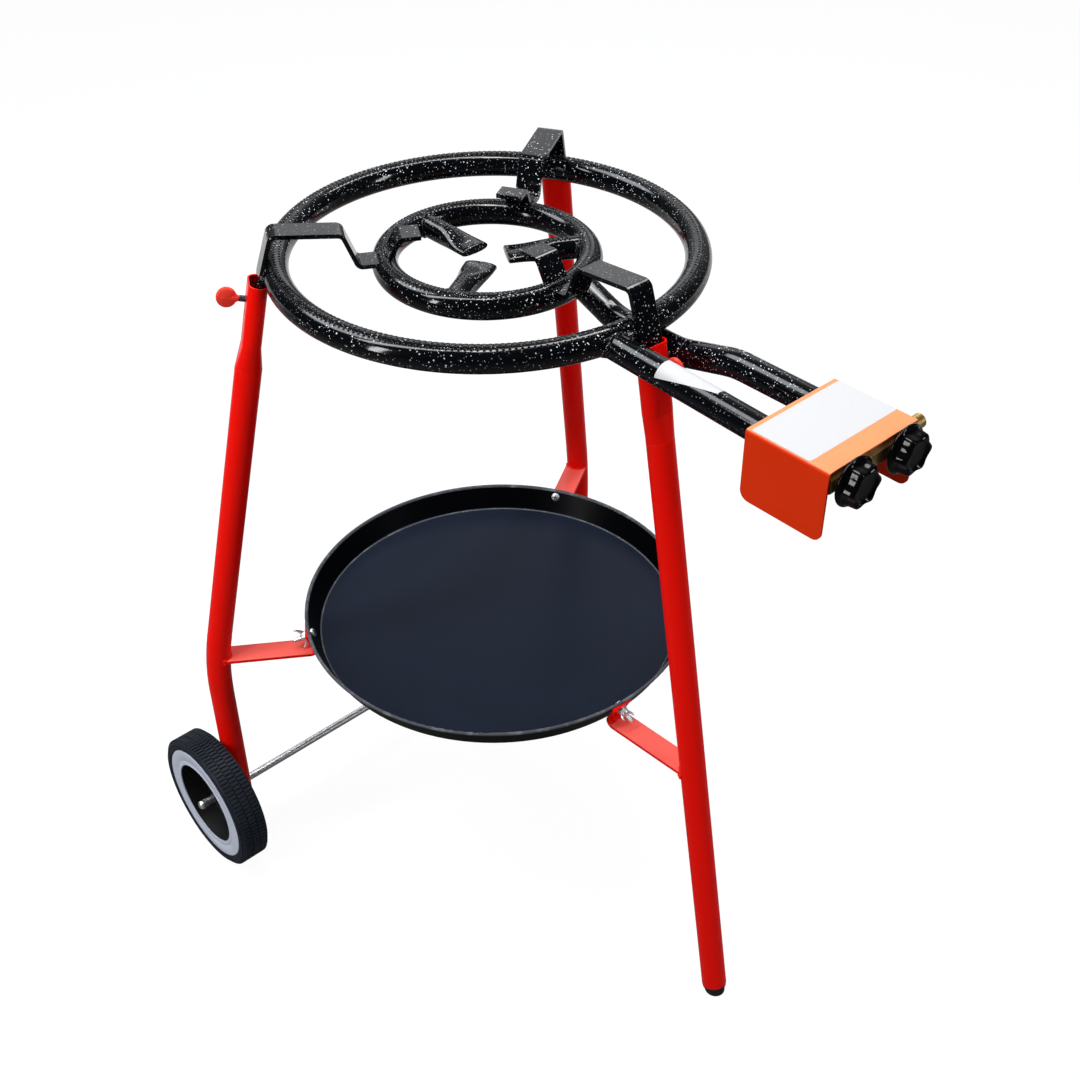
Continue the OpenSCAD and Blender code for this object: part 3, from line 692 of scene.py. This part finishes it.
# gas ports: a near-black disc of painted shade for each bore and a thick enamel lip round it, painted grey
# as a highlight, in three rows along the tubes' tops
ports = {
    "bore": 0.00128,
    "lip": 0.00018,
    "lipSides": 4,
    "stand": 0.00006,
    "sides": 8,
    "rowTilt": 24,
    "outerCount": 240,
    "innerCount": 144,
    "spokeFirst": 0.0285,
    "spokePitch": 0.0042,
    "spokeCount": 12,
    "spokeRow": 0.30,
    "tipGap": 0.004,
}


def ringSpots(radius, tube, drop, count):
    spots = []
    for row, tilt in enumerate((-ports["rowTilt"], 0, ports["rowTilt"])):
        for k in range(count):
            a = 2 * math.pi * (k + (0.0 if row == 1 else 0.5)) / count
            t = math.radians(tilt)
            way = Vector((math.cos(a) * math.sin(t), math.sin(a) * math.sin(t), math.cos(t)))
            heart = Vector((radius * math.cos(a), radius * math.sin(a), -drop))
            spots.append((burnerCentre + heart + way * tube, way))
    return spots


def spokeSpots():
    spots = []
    for bearing in spokeBearings.values():
        place = atBearing(bearing)
        for row in (-1, 0, 1):
            # the middle row is shifted by half a pitch and has one port fewer
            first = ports["spokeFirst"] + (ports["spokePitch"] / 2 if row == 0 else 0.0)
            for k in range(ports["spokeCount"] - (row == 0)):
                x = first + ports["spokePitch"] * k
                wide, thick = spokeSection(x)
                y = row * ports["spokeRow"] * wide
                z = thick * math.sqrt(1 - (y / wide) ** 2)
                way = Vector((0, y / wide ** 2, z / thick ** 2)).normalized()
                spots.append((place @ Vector((x, y, z - stand["innerDrop"])), place.to_3x3() @ way))
        x = spoke["tip"] + ports["tipGap"]
        z = spokeSection(x)[1]
        spots.append((place @ Vector((x, 0, z - stand["innerDrop"])), Vector((0, 0, 1))))
    return spots


def makePorts():
    spots = ringSpots(*outerRing, ports["outerCount"]) + ringSpots(*innerRing, ports["innerCount"])
    spots += spokeSpots()
    lips = Pattern("portLips", chosen(ports, "bore", "lip", "sides"))
    lip = lips.hoop(lips.size("sides"), lips.size("bore"), ports["lipSides"], lips.size("lip"))
    lips.finish(lips.scatter(lips.smooth(lip)), finishes["lip"])
    addPiece("portLips", lips.grow(spotMesh("portSpots", spots)), "stand", "black_enamel")
    # each bore is a flat near-black disc just above the tube: painted shade where the hole would be
    bores = Pattern("portBores", chosen(ports, "bore", "stand", "sides"))
    values = {"Vertices": bores.size("sides"), "Radius": bores.size("bore")}
    disc = bores.node("GeometryNodeMeshCircle", {"fill_type": "TRIANGLE_FAN"}, values)
    lift = bores.node("ShaderNodeCombineXYZ", {}, {"Z": bores.size("stand")})
    bores.finish(bores.scatter(bores.shifted(disc, lift)), finishes["bore"])
    addPiece("portBores", bores.grow(spotMesh("boreSpots", spots)), "stand", "black_enamel")
    print("gas ports drilled:", len(spots))


makePorts()


# weld beads: overlapping lumps along each joint, in the burner's own frame
welds = {
    "lump": 0.0019,
    "flat": 0.75,
    "uneven": 0.35,
    "seed": 7,
    "step": 0.0016,
    "creep": 0.0001,
    "gap": 0.0002,
    "barSteps": range(-7, 8),
    "sideAngles": range(-44, 45, 11),
    "innerFeet": [(0.0955, 1), (0.0895, -1)],
    "outerPipe": {"start": (-0.02925, -0.1860, -0.0035), "way": (0, -0.1863, -0.0065)},
    "innerPipe": {"start": (0.03075, -0.0870, -0.0083), "way": (0, -0.0474, -0.0177)},
    "spokeStart": 0.0900,
    "arms": {"front": (0.2977, -0.0136), "left": (0.2966, 0.0), "right": (0.2966, 0.0)},
}


def torusGap(point, radius, tube, drop):
    flat = math.hypot(point.x, point.y) - radius
    return math.hypot(flat, point.z + drop) - tube


def saddle(start, along, pipe, radius, tube, drop):
    # joint of a straight pipe and a ring tube: each point creeps along the pipe till it's out of the ring
    along = along.normalized()
    side = along.cross(Vector((0, 0, 1))).normalized()
    rise = side.cross(along)
    spots = []
    steps = int(2 * math.pi * pipe / welds["step"])
    for k in range(steps):
        a = 2 * math.pi * k / steps
        edge = side * math.cos(a) + rise * math.sin(a)
        point = start + edge * pipe
        while torusGap(point, radius, tube, drop) <= 0:
            point = point + along * welds["creep"]
        spots.append((burnerCentre + point, (edge + along).normalized()))
    return spots


def supportSpots(place):
    # down both sides of an outer support, and across both sides of an inner one's foot
    spots = []
    halfBar = stand["barWidth"] / 2
    for hand in (-1, 1):
        way = place.to_3x3() @ Vector((1, hand, 0)).normalized()
        for angle in welds["sideAngles"]:
            a = math.radians(angle)
            far = stand["ringRadius"] + stand["ringTube"] * math.cos(a)
            flat = math.sqrt(far ** 2 - halfBar ** 2)
            spot = Vector((flat, hand * (halfBar + welds["gap"]), stand["ringTube"] * math.sin(a)))
            spots.append((place @ spot, way))
    for x, hand in welds["innerFeet"]:
        way = place.to_3x3() @ Vector((hand, 0, 1)).normalized()
        for k in welds["barSteps"]:
            y = welds["step"] * k
            flat = math.hypot(x, y) - stand["innerRadius"]
            z = math.sqrt(stand["innerTube"] ** 2 - flat ** 2) - stand["innerDrop"]
            spots.append((place @ Vector((x, y, z)), way))
    return spots


def enamelJoints():
    spots = []
    for pipe, ring in (("outerPipe", outerRing), ("innerPipe", innerRing)):
        joint = welds[pipe]
        spots += saddle(Vector(joint["start"]), Vector(joint["way"]), stand["pipeRadius"], *ring)
    for bearing in spokeBearings.values():
        way = Vector((math.cos(math.radians(bearing)), math.sin(math.radians(bearing)), 0))
        start = way * welds["spokeStart"] + Vector((0, 0, -stand["innerDrop"]))
        spots += saddle(start, -way, spoke["round"], *innerRing)
    for bearing in bearings.values():
        spots += supportSpots(atBearing(bearing))
    return spots


def armJoints():
    # above and below each tray arm, round its leg
    spots = []
    above = -stand["armDrop"] + welds["gap"]
    below = -stand["armDrop"] - stand["armThick"] - welds["gap"]
    for side, bearing in bearings.items():
        place = atBearing(bearing)
        reach, shift = welds["arms"][side]
        for z in (above, below):
            for k in welds["barSteps"]:
                y = welds["step"] * k
                x = reach - math.sqrt(stand["legRadius"] ** 2 - y ** 2)
                spots.append((place @ Vector((x, shift + y, z)), Vector((0, 0, 1))))
    return spots


def makeWelds(name, spots, slot):
    lumps = Pattern(name, chosen(welds, "lump", "flat", "uneven", "seed"))
    values = {"Radius": lumps.size("lump"), "Subdivisions": 2}
    ball = lumps.smooth(lumps.node("GeometryNodeMeshIcoSphere", {}, values))
    values = {2: 1 - lumps.size("uneven"), 3: 1 + lumps.size("uneven"), "Seed": lumps.size("seed")}
    grown = lumps.node("FunctionNodeRandomValue", {"data_type": "FLOAT"}, values, 1)
    squash = lumps.node("ShaderNodeCombineXYZ", {}, {0: grown, 1: grown, 2: grown * lumps.size("flat")})
    lumps.finish(lumps.scatter(ball, squash), finishes[slot])
    addPiece(name, lumps.grow(spotMesh(name + "Spots", spots)), "stand", slot)


makeWelds("ringWelds", enamelJoints(), "black_enamel")
makeWelds("armWelds", armJoints(), "red_paint")
print("joints welded")


def makeSpoke(name, bearing):
    stations = [(spoke["tip"] + gap, shrink) for gap, shrink in spoke["tipClosing"]]
    stations += [(x, 1.0) for x in spoke["stations"]]
    loops = []
    for x, shrink in stations:
        wide, thick = spokeSection(x)
        squareness = 2.0 + spoke["squareness"] * (1 - ease(x, spoke["squareEnd"], spoke["roundStart"]))
        narrow = 1 - spoke["tipNarrowing"] * (1 - shrink)
        section = oval(wide, thick, spoke["sides"], squareness)
        loops.append([(x, y * narrow, z * shrink) for y, z in section])
    place = atBearing(bearing) @ move(0, 0, -stand["innerDrop"])
    addSolid(name, loft(loops), place, "stand", "black_enamel", name)


for side, bearing in spokeBearings.items():
    makeSpoke("spoke_" + side, bearing)
print("spokes pressed")


# knobs with rounded lobes and a dished front; the profile and the grip are in millimetres
knob = {
    "lobes": 6,
    "lobeDepth": 0.0030,
    "lobeWidth": 0.75,
    "gripHeights": (2.6, 4.2),
    "gripRadii": (12.6, 15.0),
    "sides": 160,
    "profile": [
        (0.0, 6.0), (13.2, 6.0), (13.5, 5.7), (13.5, 0.3), (13.8, 0.0), (19.6, 0.0), (20.2, 0.3),
        (20.5, 0.9), (20.5, 1.8), (20.2, 2.4), (19.5, 2.8), (18.7, 3.2), (18.3, 3.8), (18.1, 4.6),
        (17.9, 6.0), (17.7, 8.0), (17.5, 10.0), (17.3, 11.8), (17.0, 12.8), (16.4, 13.5), (15.6, 13.9),
        (14.7, 14.0), (13.0, 14.0), (12.5, 13.9), (12.1, 13.5), (11.6, 12.7), (10.9, 12.1), (9.6, 11.8),
        (6.0, 11.7), (0.0, 11.7),
    ],
}


def makeKnob(side, hand):
    loops = []
    for r, z in knob["profile"]:
        grip = ease(z, *knob["gripHeights"]) * ease(r, *knob["gripRadii"])
        loop = []
        for k in range(knob["sides"]):
            a = 2 * math.pi * k / knob["sides"]
            dip = (0.5 - 0.5 * math.cos(knob["lobes"] * a)) ** knob["lobeWidth"]
            reach = r / 1000 - grip * knob["lobeDepth"] * dip
            loop.append((reach * math.cos(a), reach * math.sin(a), z / 1000))
        loops.append(loop)
    place = atTap(hand) @ move(0, 0, stand["knobBack"])
    shape = loft(loops, capped=False)
    addSolid("knob_" + side, shape, place, "dial_" + side, "knob_plastic", "knob_" + side, sharp=60)


makeKnob("left", -1)
makeKnob("right", 1)
print("knobs moulded")


# tyres: a rounded carcass, rows of tread lugs round it and two ribs on each side
tyre = {
    "radius": 0.078,
    "bead": 0.064,
    "tread": 0.0016,
    "shoulder": 0.0046,
    "shoulderSteps": 5,
    "sides": 128,
    "lugCount": 104,
    "lugRows": 3,
    "lugWidth": 0.0084,
    "lugLength": 0.0030,
    "lugGap": 0.0010,
    "lugDepth": 1.6,
    "ribs": (0.0690, 0.0735),
    "rib": 0.0005,
    "ribSides": 6,
}


def tyreCarcass(shape):
    thick = shape.size("radius") - shape.size("tread") - shape.size("bead")
    middle = shape.size("bead") + thick * 0.5
    values = {"Width": thick, "Height": shape.size("width")}
    section = shape.node("GeometryNodeCurvePrimitiveQuadrilateral", {}, values)
    values = {"Curve": section, "Radius": shape.size("shoulder"), "Count": tyre["shoulderSteps"]}
    section = shape.node("GeometryNodeFilletCurve", {"mode": "POLY"}, values)
    return shape.smooth(shape.sweep(shape.circle(tyre["sides"], middle), section))


def tyreLugs(shape):
    # each row is turned by half a pitch against the next
    deep = shape.size("tread") * tyre["lugDepth"]
    values = {0: deep, 1: shape.size("lugLength"), 2: shape.size("lugWidth")}
    block = shape.node("ShaderNodeCombineXYZ", {}, values)
    lug = shape.node("GeometryNodeMeshCube", {}, {"Size": block})
    values = {"Vertices": shape.size("lugCount"), "Radius": shape.size("radius") - deep * 0.5}
    stations = shape.node("GeometryNodeMeshCircle", {}, values)
    angle = shape.node("GeometryNodeInputIndex") * (2 * math.pi) / shape.size("lugCount")
    heading = shape.node("ShaderNodeCombineXYZ", {}, {2: angle})
    values = {"Points": stations, "Instance": lug, "Rotation": heading}
    lugs = shape.node("GeometryNodeInstanceOnPoints", {}, values)
    rows = []
    for row in range(tyre["lugRows"]):
        rise = (row - (tyre["lugRows"] - 1) / 2) * (tyre["lugWidth"] + tyre["lugGap"])
        stagger = math.pi / tyre["lugCount"] * (row % 2)
        rows.append(shape.shifted(lugs, (0, 0, rise), (0, 0, stagger)))
    return rows


def tyreRibs(shape):
    ribs = []
    for radius in tyre["ribs"]:
        rib = shape.hoop(tyre["sides"], radius, tyre["ribSides"], tyre["rib"])
        for end in (-0.5, 0.5):
            lift = shape.node("ShaderNodeCombineXYZ", {}, {2: shape.size("width") * end})
            ribs.append(shape.shifted(rib, lift))
    return ribs


def makeTyre(side, hand):
    sizes = chosen(tyre, "radius", "bead", "tread", "shoulder", "lugCount", "lugWidth", "lugLength")
    shape = Pattern("tyreTread", dict(sizes, width=stand["wheelWidth"]))
    parts = [tyreCarcass(shape)] + tyreLugs(shape) + tyreRibs(shape)
    shape.finish(shape.join(parts), finishes["tyre_rubber"])
    mesh = shape.grow(bpy.data.meshes.new("tyreSeed"))
    mesh.transform(atWheel(hand) @ move(0, 0, stand["wheelWidth"] / 2))
    addPiece("tyre_" + side, mesh, "wheel_" + side, "tyre_rubber", "tyre_" + side)


# radius and height in millimetres: the trim's from the tyre's outer face, the cap's from its inner one
trim = {
    "sides": 128,
    "profile": [
        (47.9, -1.5), (47.8, -0.5), (48.1, -0.1), (48.8, 0), (52.2, -0.1), (52.8, -0.5),
        (53.4, -0.5), (54.0, -0.1), (64.8, 0), (65.8, -0.2), (66.1, -0.7), (66.1, -1.5),
    ],
}
cap = {
    "sides": 48,
    "profile": [
        (4.02, 29.2), (4.5, 29.2), (4.6, 29.4), (4.6, 32.6), (4.9, 32.9), (5.0, 34.0), (4.9, 35.4),
        (4.6, 36.6), (3.9, 37.6), (2.9, 38.2), (1.6, 38.45), (0.0, 38.5), (0.0, 37.1), (4.0, 37.1),
        (4.02, 36.0),
    ],
}


def makeTrimAndCap(side, hand):
    wide = stand["wheelWidth"] * 1000
    profile = metres([(r, wide + z) for r, z in trim["profile"]])
    shape = turned(profile, trim["sides"], True)
    addSolid("trim_ring_" + side, shape, atWheel(hand), "wheel_" + side, "trim_white", "trim_ring_" + side)
    shape = turned(metres(cap["profile"]), cap["sides"], True)
    addSolid("axle_cap_" + side, shape, atWheel(hand), "stand", "zinc", "axle_cap_" + side)


for side, hand in (("left", -1), ("right", 1)):
    makeTyre(side, hand)
    makeTrimAndCap(side, hand)
print("wheels built")


# thumb screws in millimetres: a threaded shank, and a disc on edge with a neck that runs into a ridge
clamp = {
    "drop": 25.0,
    "shank": 3.0,
    "shankSides": 32,
    "endInset": 0.4,
    "tip": 2.2,
    "start": 1.3,
    "end": 17.2,
    "turns": 13,
    "pitch": 1.0,
    "groove": 0.42,
    "discWide": 9.7,
    "discHigh": 9.1,
    "middle": 25.6,
    "thick": 2.9,
    "flatness": 6,
    "rimCurve": 0.30,
    "discRows": 20,
    "discSides": 48,
    "neckSides": 24,
    "neck": [  # height, half width, half thickness
        (15.0, 0.01, 0.01), (15.0, 2.6, 2.6), (16.5, 3.3, 2.9), (18.4, 5.0, 2.9), (20.4, 6.4, 2.7),
        (21.6, 0.8, 3.05), (29.0, 0.8, 3.05), (32.0, 0.2, 2.6), (32.0, 0.01, 0.01),
    ],
}


def clampDisc():
    # flat faces and a well-rounded rim
    loops = []
    for k in range(clamp["discRows"] + 1):
        t = -1 + 2 * k / clamp["discRows"]
        wide = clamp["discWide"] * max(1 - t ** clamp["flatness"], 0.0) ** clamp["rimCurve"]
        high = wide * clamp["discHigh"] / clamp["discWide"]
        y = clamp["thick"] * (t + t ** 3) / 2
        section = oval(wide, high, clamp["discSides"])
        loops.append(metres([(x, y, clamp["middle"] + z) for x, z in section]))
    return loft(loops)


def clampNeck():
    loops = []
    for z, wide, thick in clamp["neck"]:
        loops.append(metres([(x, y, z) for x, y in oval(wide, thick, clamp["neckSides"])]))
    return loft(loops, capped=False)


def clampShank():
    profile = [(0.0, clamp["start"]), (clamp["tip"], clamp["start"])]
    for k in range(clamp["turns"]):
        z = clamp["start"] + clamp["pitch"] * (k + 0.5)
        profile += [(clamp["shank"], z), (clamp["shank"] - clamp["groove"], z + clamp["pitch"] / 2)]
    profile += [(clamp["shank"] - clamp["endInset"], clamp["end"]), (0.0, clamp["end"])]
    return turned(metres(profile), clamp["shankSides"])


def makeClamp(side):
    body = "clamp_" + side
    place = atLeg(side) @ move(0, 0, clamp["drop"] / 1000) @ turn("Y", -90)
    addSolid("thumb_screw_" + side, clampDisc(), place, body, "screw_red", "thumb_screw_" + side, sharp=50)
    addSolid("clampNeck_" + side, clampNeck(), place, body, "screw_red", sharp=50)
    addSolid("clampShank_" + side, clampShank(), place, body, "zinc", finish="shank")


for side in bearings:
    makeClamp(side)
print("thumb screws made")


# tray screws: a domed head inside the tray, its cross recess a near-black cross of painted shade, the
# threaded end outside it
bolt = {
    "radius": 0.0025,
    "core": 0.0023,
    "tip": 0.0019,
    "length": 0.020,
    "chamfer": 0.0005,
    "head": 0.0049,
    "headHigh": 0.0030,
    "headCurve": [(0.98, 0), (1, 0.25), (0.94, 0.60), (0.76, 0.88), (0.45, 1), (0, 1)],
    "sides": 36,
    "crossReach": 0.0027,
    "crossArm": 0.00062,
    "crossDepth": 0.0004,
    "crossProud": 0.00004,
}
thread = {
    "start": 0.0008,
    "pitch": 0.00064,
    "rings": 24,
    "sides": 20,
    "crest": 0.00024,
    "crestSides": 4,
    "sunk": 0.00022,
}


def crossOutline(reach, arm):
    corners = [(reach, arm), (arm, arm), (arm, reach), (-arm, reach), (-arm, arm), (-reach, arm)]
    return corners + [(-x, -y) for x, y in corners]


def makeTrayScrews():
    under = -stand["traySheet"]
    length = bolt["length"]
    profile = [(0.0, length), (bolt["tip"], length)]
    profile += [(bolt["core"], length - bolt["chamfer"]), (bolt["core"], under)]
    profile += [(bolt["head"] * r, under - bolt["headHigh"] * z) for r, z in bolt["headCurve"]]
    shape = gathered([(atBolt(side), turned(profile, bolt["sides"])) for side in bearings])
    addSolid("tray_screws", shape, inPlace, "stand", "zinc", "tray_screws")
    # the cross recess is a near-black cross set into the head and just proud of it: painted shade where the
    # recess would be
    top = under - bolt["headHigh"]
    outline = crossOutline(bolt["crossReach"], bolt["crossArm"])
    cross = [[(x, y, z) for x, y in outline] for z in (top + bolt["crossDepth"], top - bolt["crossProud"])]
    shape = gathered([(atBolt(side), loft(cross)) for side in bearings])
    addSolid("screwRecessShade", shape, inPlace, "stand", "zinc", finish="bore")


def makeThreads():
    spots = []
    for side in bearings:
        place = atBolt(side)
        way = place.to_3x3() @ Vector((0, 0, 1))
        for k in range(thread["rings"]):
            z = bolt["length"] - thread["start"] - thread["pitch"] * k
            spots.append((place @ Vector((0, 0, z)), way))
    sizes = dict(chosen(thread, "crest", "sides"), radius=bolt["radius"] - thread["sunk"])
    rings = Pattern("boltThreads", sizes)
    ring = rings.hoop(rings.size("sides"), rings.size("radius"), thread["crestSides"], rings.size("crest"))
    rings.finish(rings.scatter(ring), finishes["zinc"])
    addPiece("boltThreads", rings.grow(spotMesh("threadSpots", spots)), "stand", "zinc")


# wing nuts in millimetres: a hub and two wings, each a row of ovals along a path
wing = {
    "base": 4.95,
    "spin": {"front": 62, "left": 15, "right": 70},
    "hub": [(2.6, 0.0), (4.9, 0.0), (5.0, 0.4), (4.5, 4.6), (4.0, 5.7), (3.4, 6.0), (2.6, 6.0)],
    "hubSides": 36,
    "path": [(3.2, 2.6), (5.2, 3.3), (7.4, 4.6), (9.2, 6.2), (10.4, 7.8), (10.9, 9.2), (10.6, 10.3)],
    "width": [2.2, 2.3, 2.1, 1.8, 1.55, 1.2, 0.5],
    "thick": [1.25, 1.15, 1.0, 0.95, 0.95, 0.85, 0.4],
    "sides": 16,
}


def wingShape(hand):
    loops = []
    for k, (x, z) in enumerate(wing["path"]):
        before = wing["path"][max(k - 1, 0)]
        after = wing["path"][min(k + 1, len(wing["path"]) - 1)]
        heading = math.atan2(after[1] - before[1], after[0] - before[0])
        section = oval(wing["width"][k], wing["thick"][k], wing["sides"])
        across, up = math.sin(heading), math.cos(heading)
        loops.append(metres([(hand * (x - u * across), v, z + u * up) for u, v in section]))
    return loft(loops)


def makeWingNut(side):
    place = atBolt(side) @ move(0, 0, wing["base"] / 1000) @ turn("Z", wing["spin"][side])
    hub = turned(metres(wing["hub"]), wing["hubSides"], True)
    shape = gathered([(place, part) for part in (hub, wingShape(1), wingShape(-1))])
    addSolid("wing_nut_" + side, shape, inPlace, "nut_" + side, "zinc", "wing_nut_" + side, sharp=50)


makeTrayScrews()
makeThreads()
for side in bearings:
    makeWingNut(side)
print("tray fixings made")


# blank label on the cover
label = {
    "left": -0.0495,
    "right": 0.0515,
    "front": -0.4095,
    "back": -0.3545,
    "top": 0.00350,
    "sunk": 0.00004,
    "thick": 0.00012,
    "corner": 0.002,
    "cornerAngles": range(0, 91, 15),
}
# blank sticker on the outer feed pipe, between two distances from the burner's axis; angles round the pipe
sticker = {
    "pipeStart": (-0.02925, -0.1857, -0.0035),
    "pipeEnd": (-0.02925, -0.3720, -0.0100),
    "near": 0.2475,
    "far": 0.3045,
    "nearAngles": (10, 116),
    "farAngles": (78, 126),
    "sunk": 0.00002,
    "thick": 0.00010,
    "rows": 24,
    "steps": 16,
}


def makeLabelSheet():
    r = label["corner"]
    left, right = label["left"] + r, label["right"] - r
    front, back = label["front"] + r, label["back"] - r
    outline = []
    for x, y, first in ((right, back, 0), (left, back, 90), (left, front, 180), (right, front, 270)):
        for angle in label["cornerAngles"]:
            a = math.radians(first + angle)
            outline.append((x + r * math.cos(a), y + r * math.sin(a)))
    heights = (label["top"] - label["sunk"], label["top"] + label["thick"])
    loops = [[(x, y, z) for x, y in outline] for z in heights]
    addSolid("coverLabel", loft(loops), atBurner, "stand", "trim_white", finish="label")


def between(first, last, share):
    return first + (last - first) * share


def makeSticker():
    start = Vector(sticker["pipeStart"])
    along = (Vector(sticker["pipeEnd"]) - start).normalized()
    side = Vector((-1, 0, 0))
    rise = side.cross(along).normalized()
    loops = []
    for row in range(sticker["rows"] + 1):
        share = row / sticker["rows"]
        distance = between(sticker["near"], sticker["far"], share)
        spot = start + along * (distance + start.y) / abs(along.y)
        low, high = [between(*pair, share) for pair in zip(sticker["nearAngles"], sticker["farAngles"])]
        under, upper = [], []
        for step in range(sticker["steps"] + 1):
            angle = math.radians(between(low, high, step / sticker["steps"]))
            edge = side * math.cos(angle) + rise * math.sin(angle)
            under.append(spot + edge * (stand["pipeRadius"] - sticker["sunk"]))
            upper.append(spot + edge * (stand["pipeRadius"] + sticker["thick"]))
        loops.append(under + upper[::-1])
    addSolid("pipeSticker", loft(loops), atBurner, "stand", "trim_white", finish="label")


makeLabelSheet()
makeSticker()
print("blank label and sticker laid")


def makeCamera():
    eye = {
        "place": (-0.760785, -0.803512, 1.298578),
        "heading": -41.977,
        "down": 37.978,
        "roll": -0.407,
        "lens": 48.70,
        "sensor": 36,
    }
    camera = newObject("camera", bpy.data.cameras.new("camera"))
    aimed = turn("Z", eye["heading"]) @ turn("X", 90 - eye["down"]) @ turn("Z", eye["roll"])
    camera.matrix_world = Matrix.Translation(eye["place"]) @ aimed
    camera.data.sensor_width = eye["sensor"]
    camera.data.lens = eye["lens"]
    bpy.context.scene.camera = camera


def makeFloor():
    # the eye sees the floor lifted to white with the shadow kept, gloss sees it white behind the stand
    look = {"reach": 9.0, "pale": grey(0.11), "lift": 0.93, "mirrored": 0.04, "behind": (0.45, 0.47, 0.30)}
    finish = Finish("paleFloor")
    eastward, northward, start = look["behind"]
    behind = (eastward * finish.axis(0) + northward * finish.axis(1) - start).clamped()
    seen = (finish.seenByEye() + (look["mirrored"] + behind) * finish.seenInGloss()).clamped()
    matt = finish.node("ShaderNodeBsdfDiffuse", {}, {"Color": look["pale"]}, "BSDF")
    values = {"Color": grey(1.0), "Strength": look["lift"] * seen}
    glow = finish.node("ShaderNodeEmission", {}, values, "Emission")
    both = finish.node("ShaderNodeAddShader", {}, {0: matt, 1: glow})
    finish.close("ShaderNodeOutputMaterial", "Surface", both)
    far = look["reach"]
    mesh = bpy.data.meshes.new("floor")
    mesh.from_pydata([(-far, -far, 0), (far, -far, 0), (far, far, 0), (-far, far, 0)], [], [(0, 1, 2, 3)])
    mesh.materials.append(finish.material)
    newObject("floor", mesh)


def makeWorld():
    # white to the eye; in gloss it is dim in front, pale behind, with one bright pane above
    look = {
        "colour": (0.92, 0.96, 1.0, 1),
        "light": 0.36,
        "eyeLift": 0.68,
        "front": 0.03,
        "behind": {"way": (0.62, 0.65, 0.34), "power": 4.0, "strength": 0.45},
        "pane": {"way": (-0.25, 0.59, 0.77), "edge": 0.966, "crispness": 60.0, "strength": 10.0},
    }
    world = bpy.data.worlds.new("room")
    bpy.context.scene.world = world
    world.use_nodes = True
    world.node_tree.nodes.clear()
    room = Graph(world.node_tree)
    east, north, up = [room.axis(k, "Generated") for k in range(3)]
    back, pane = look["behind"], look["pane"]
    behind = (back["way"][0] * east + back["way"][1] * north + back["way"][2] * up).clamped()
    facing = pane["way"][0] * east + pane["way"][1] * north + pane["way"][2] * up
    bright = ((facing - pane["edge"]) * pane["crispness"]).clamped()
    shown = look["front"] + back["strength"] * behind ** back["power"] + pane["strength"] * bright
    mirrored = room.seenInGloss().clamped() * (shown - look["light"])
    strength = look["light"] + room.seenByEye() * look["eyeLift"] + mirrored
    sky = room.node("ShaderNodeBackground", {}, {"Color": look["colour"], "Strength": strength})
    room.close("ShaderNodeOutputWorld", "Surface", sky)


lamps = {
    "topLeft": {"place": (-0.65, 0.35, 2.2), "target": (0, 0.1, 0.6), "size": (0.26, 1.6), "watts": 20},
    "topRight": {"place": (0.45, 0.25, 2.3), "target": (0, 0.1, 0.6), "size": (0.26, 1.6), "watts": 20},
    "frontLight": {"place": (0.9, -1.8, 1.5), "target": (0, 0, 0.5), "size": (0.20, 1.2), "watts": 12},
    "leftLight": {"place": (-2.0, 0.2, 1.2), "target": (0, 0.1, 0.5), "size": (0.20, 1.2), "watts": 17},
    "backPanel": {"place": (1.5, 1.6, 1.75), "target": (0, 0, 0.5), "size": (1.5, 1.1), "watts": 5},
}


def makeSoftbox(name, place, target, size, watts):
    lamp = bpy.data.lights.new(name, "AREA")
    lamp.shape = "RECTANGLE"
    lamp.size, lamp.size_y = size
    lamp.energy = watts
    holder = newObject(name, lamp)
    holder.location = place
    holder.rotation_euler = (Vector(target) - Vector(place)).to_track_quat("-Z", "Y").to_euler()


bpy.context.scene.view_settings.view_transform = "Standard"
makeCamera()
makeFloor()
makeWorld()
for name, lamp in lamps.items():
    makeSoftbox(name, **lamp)
print("camera, floor and lights placed")
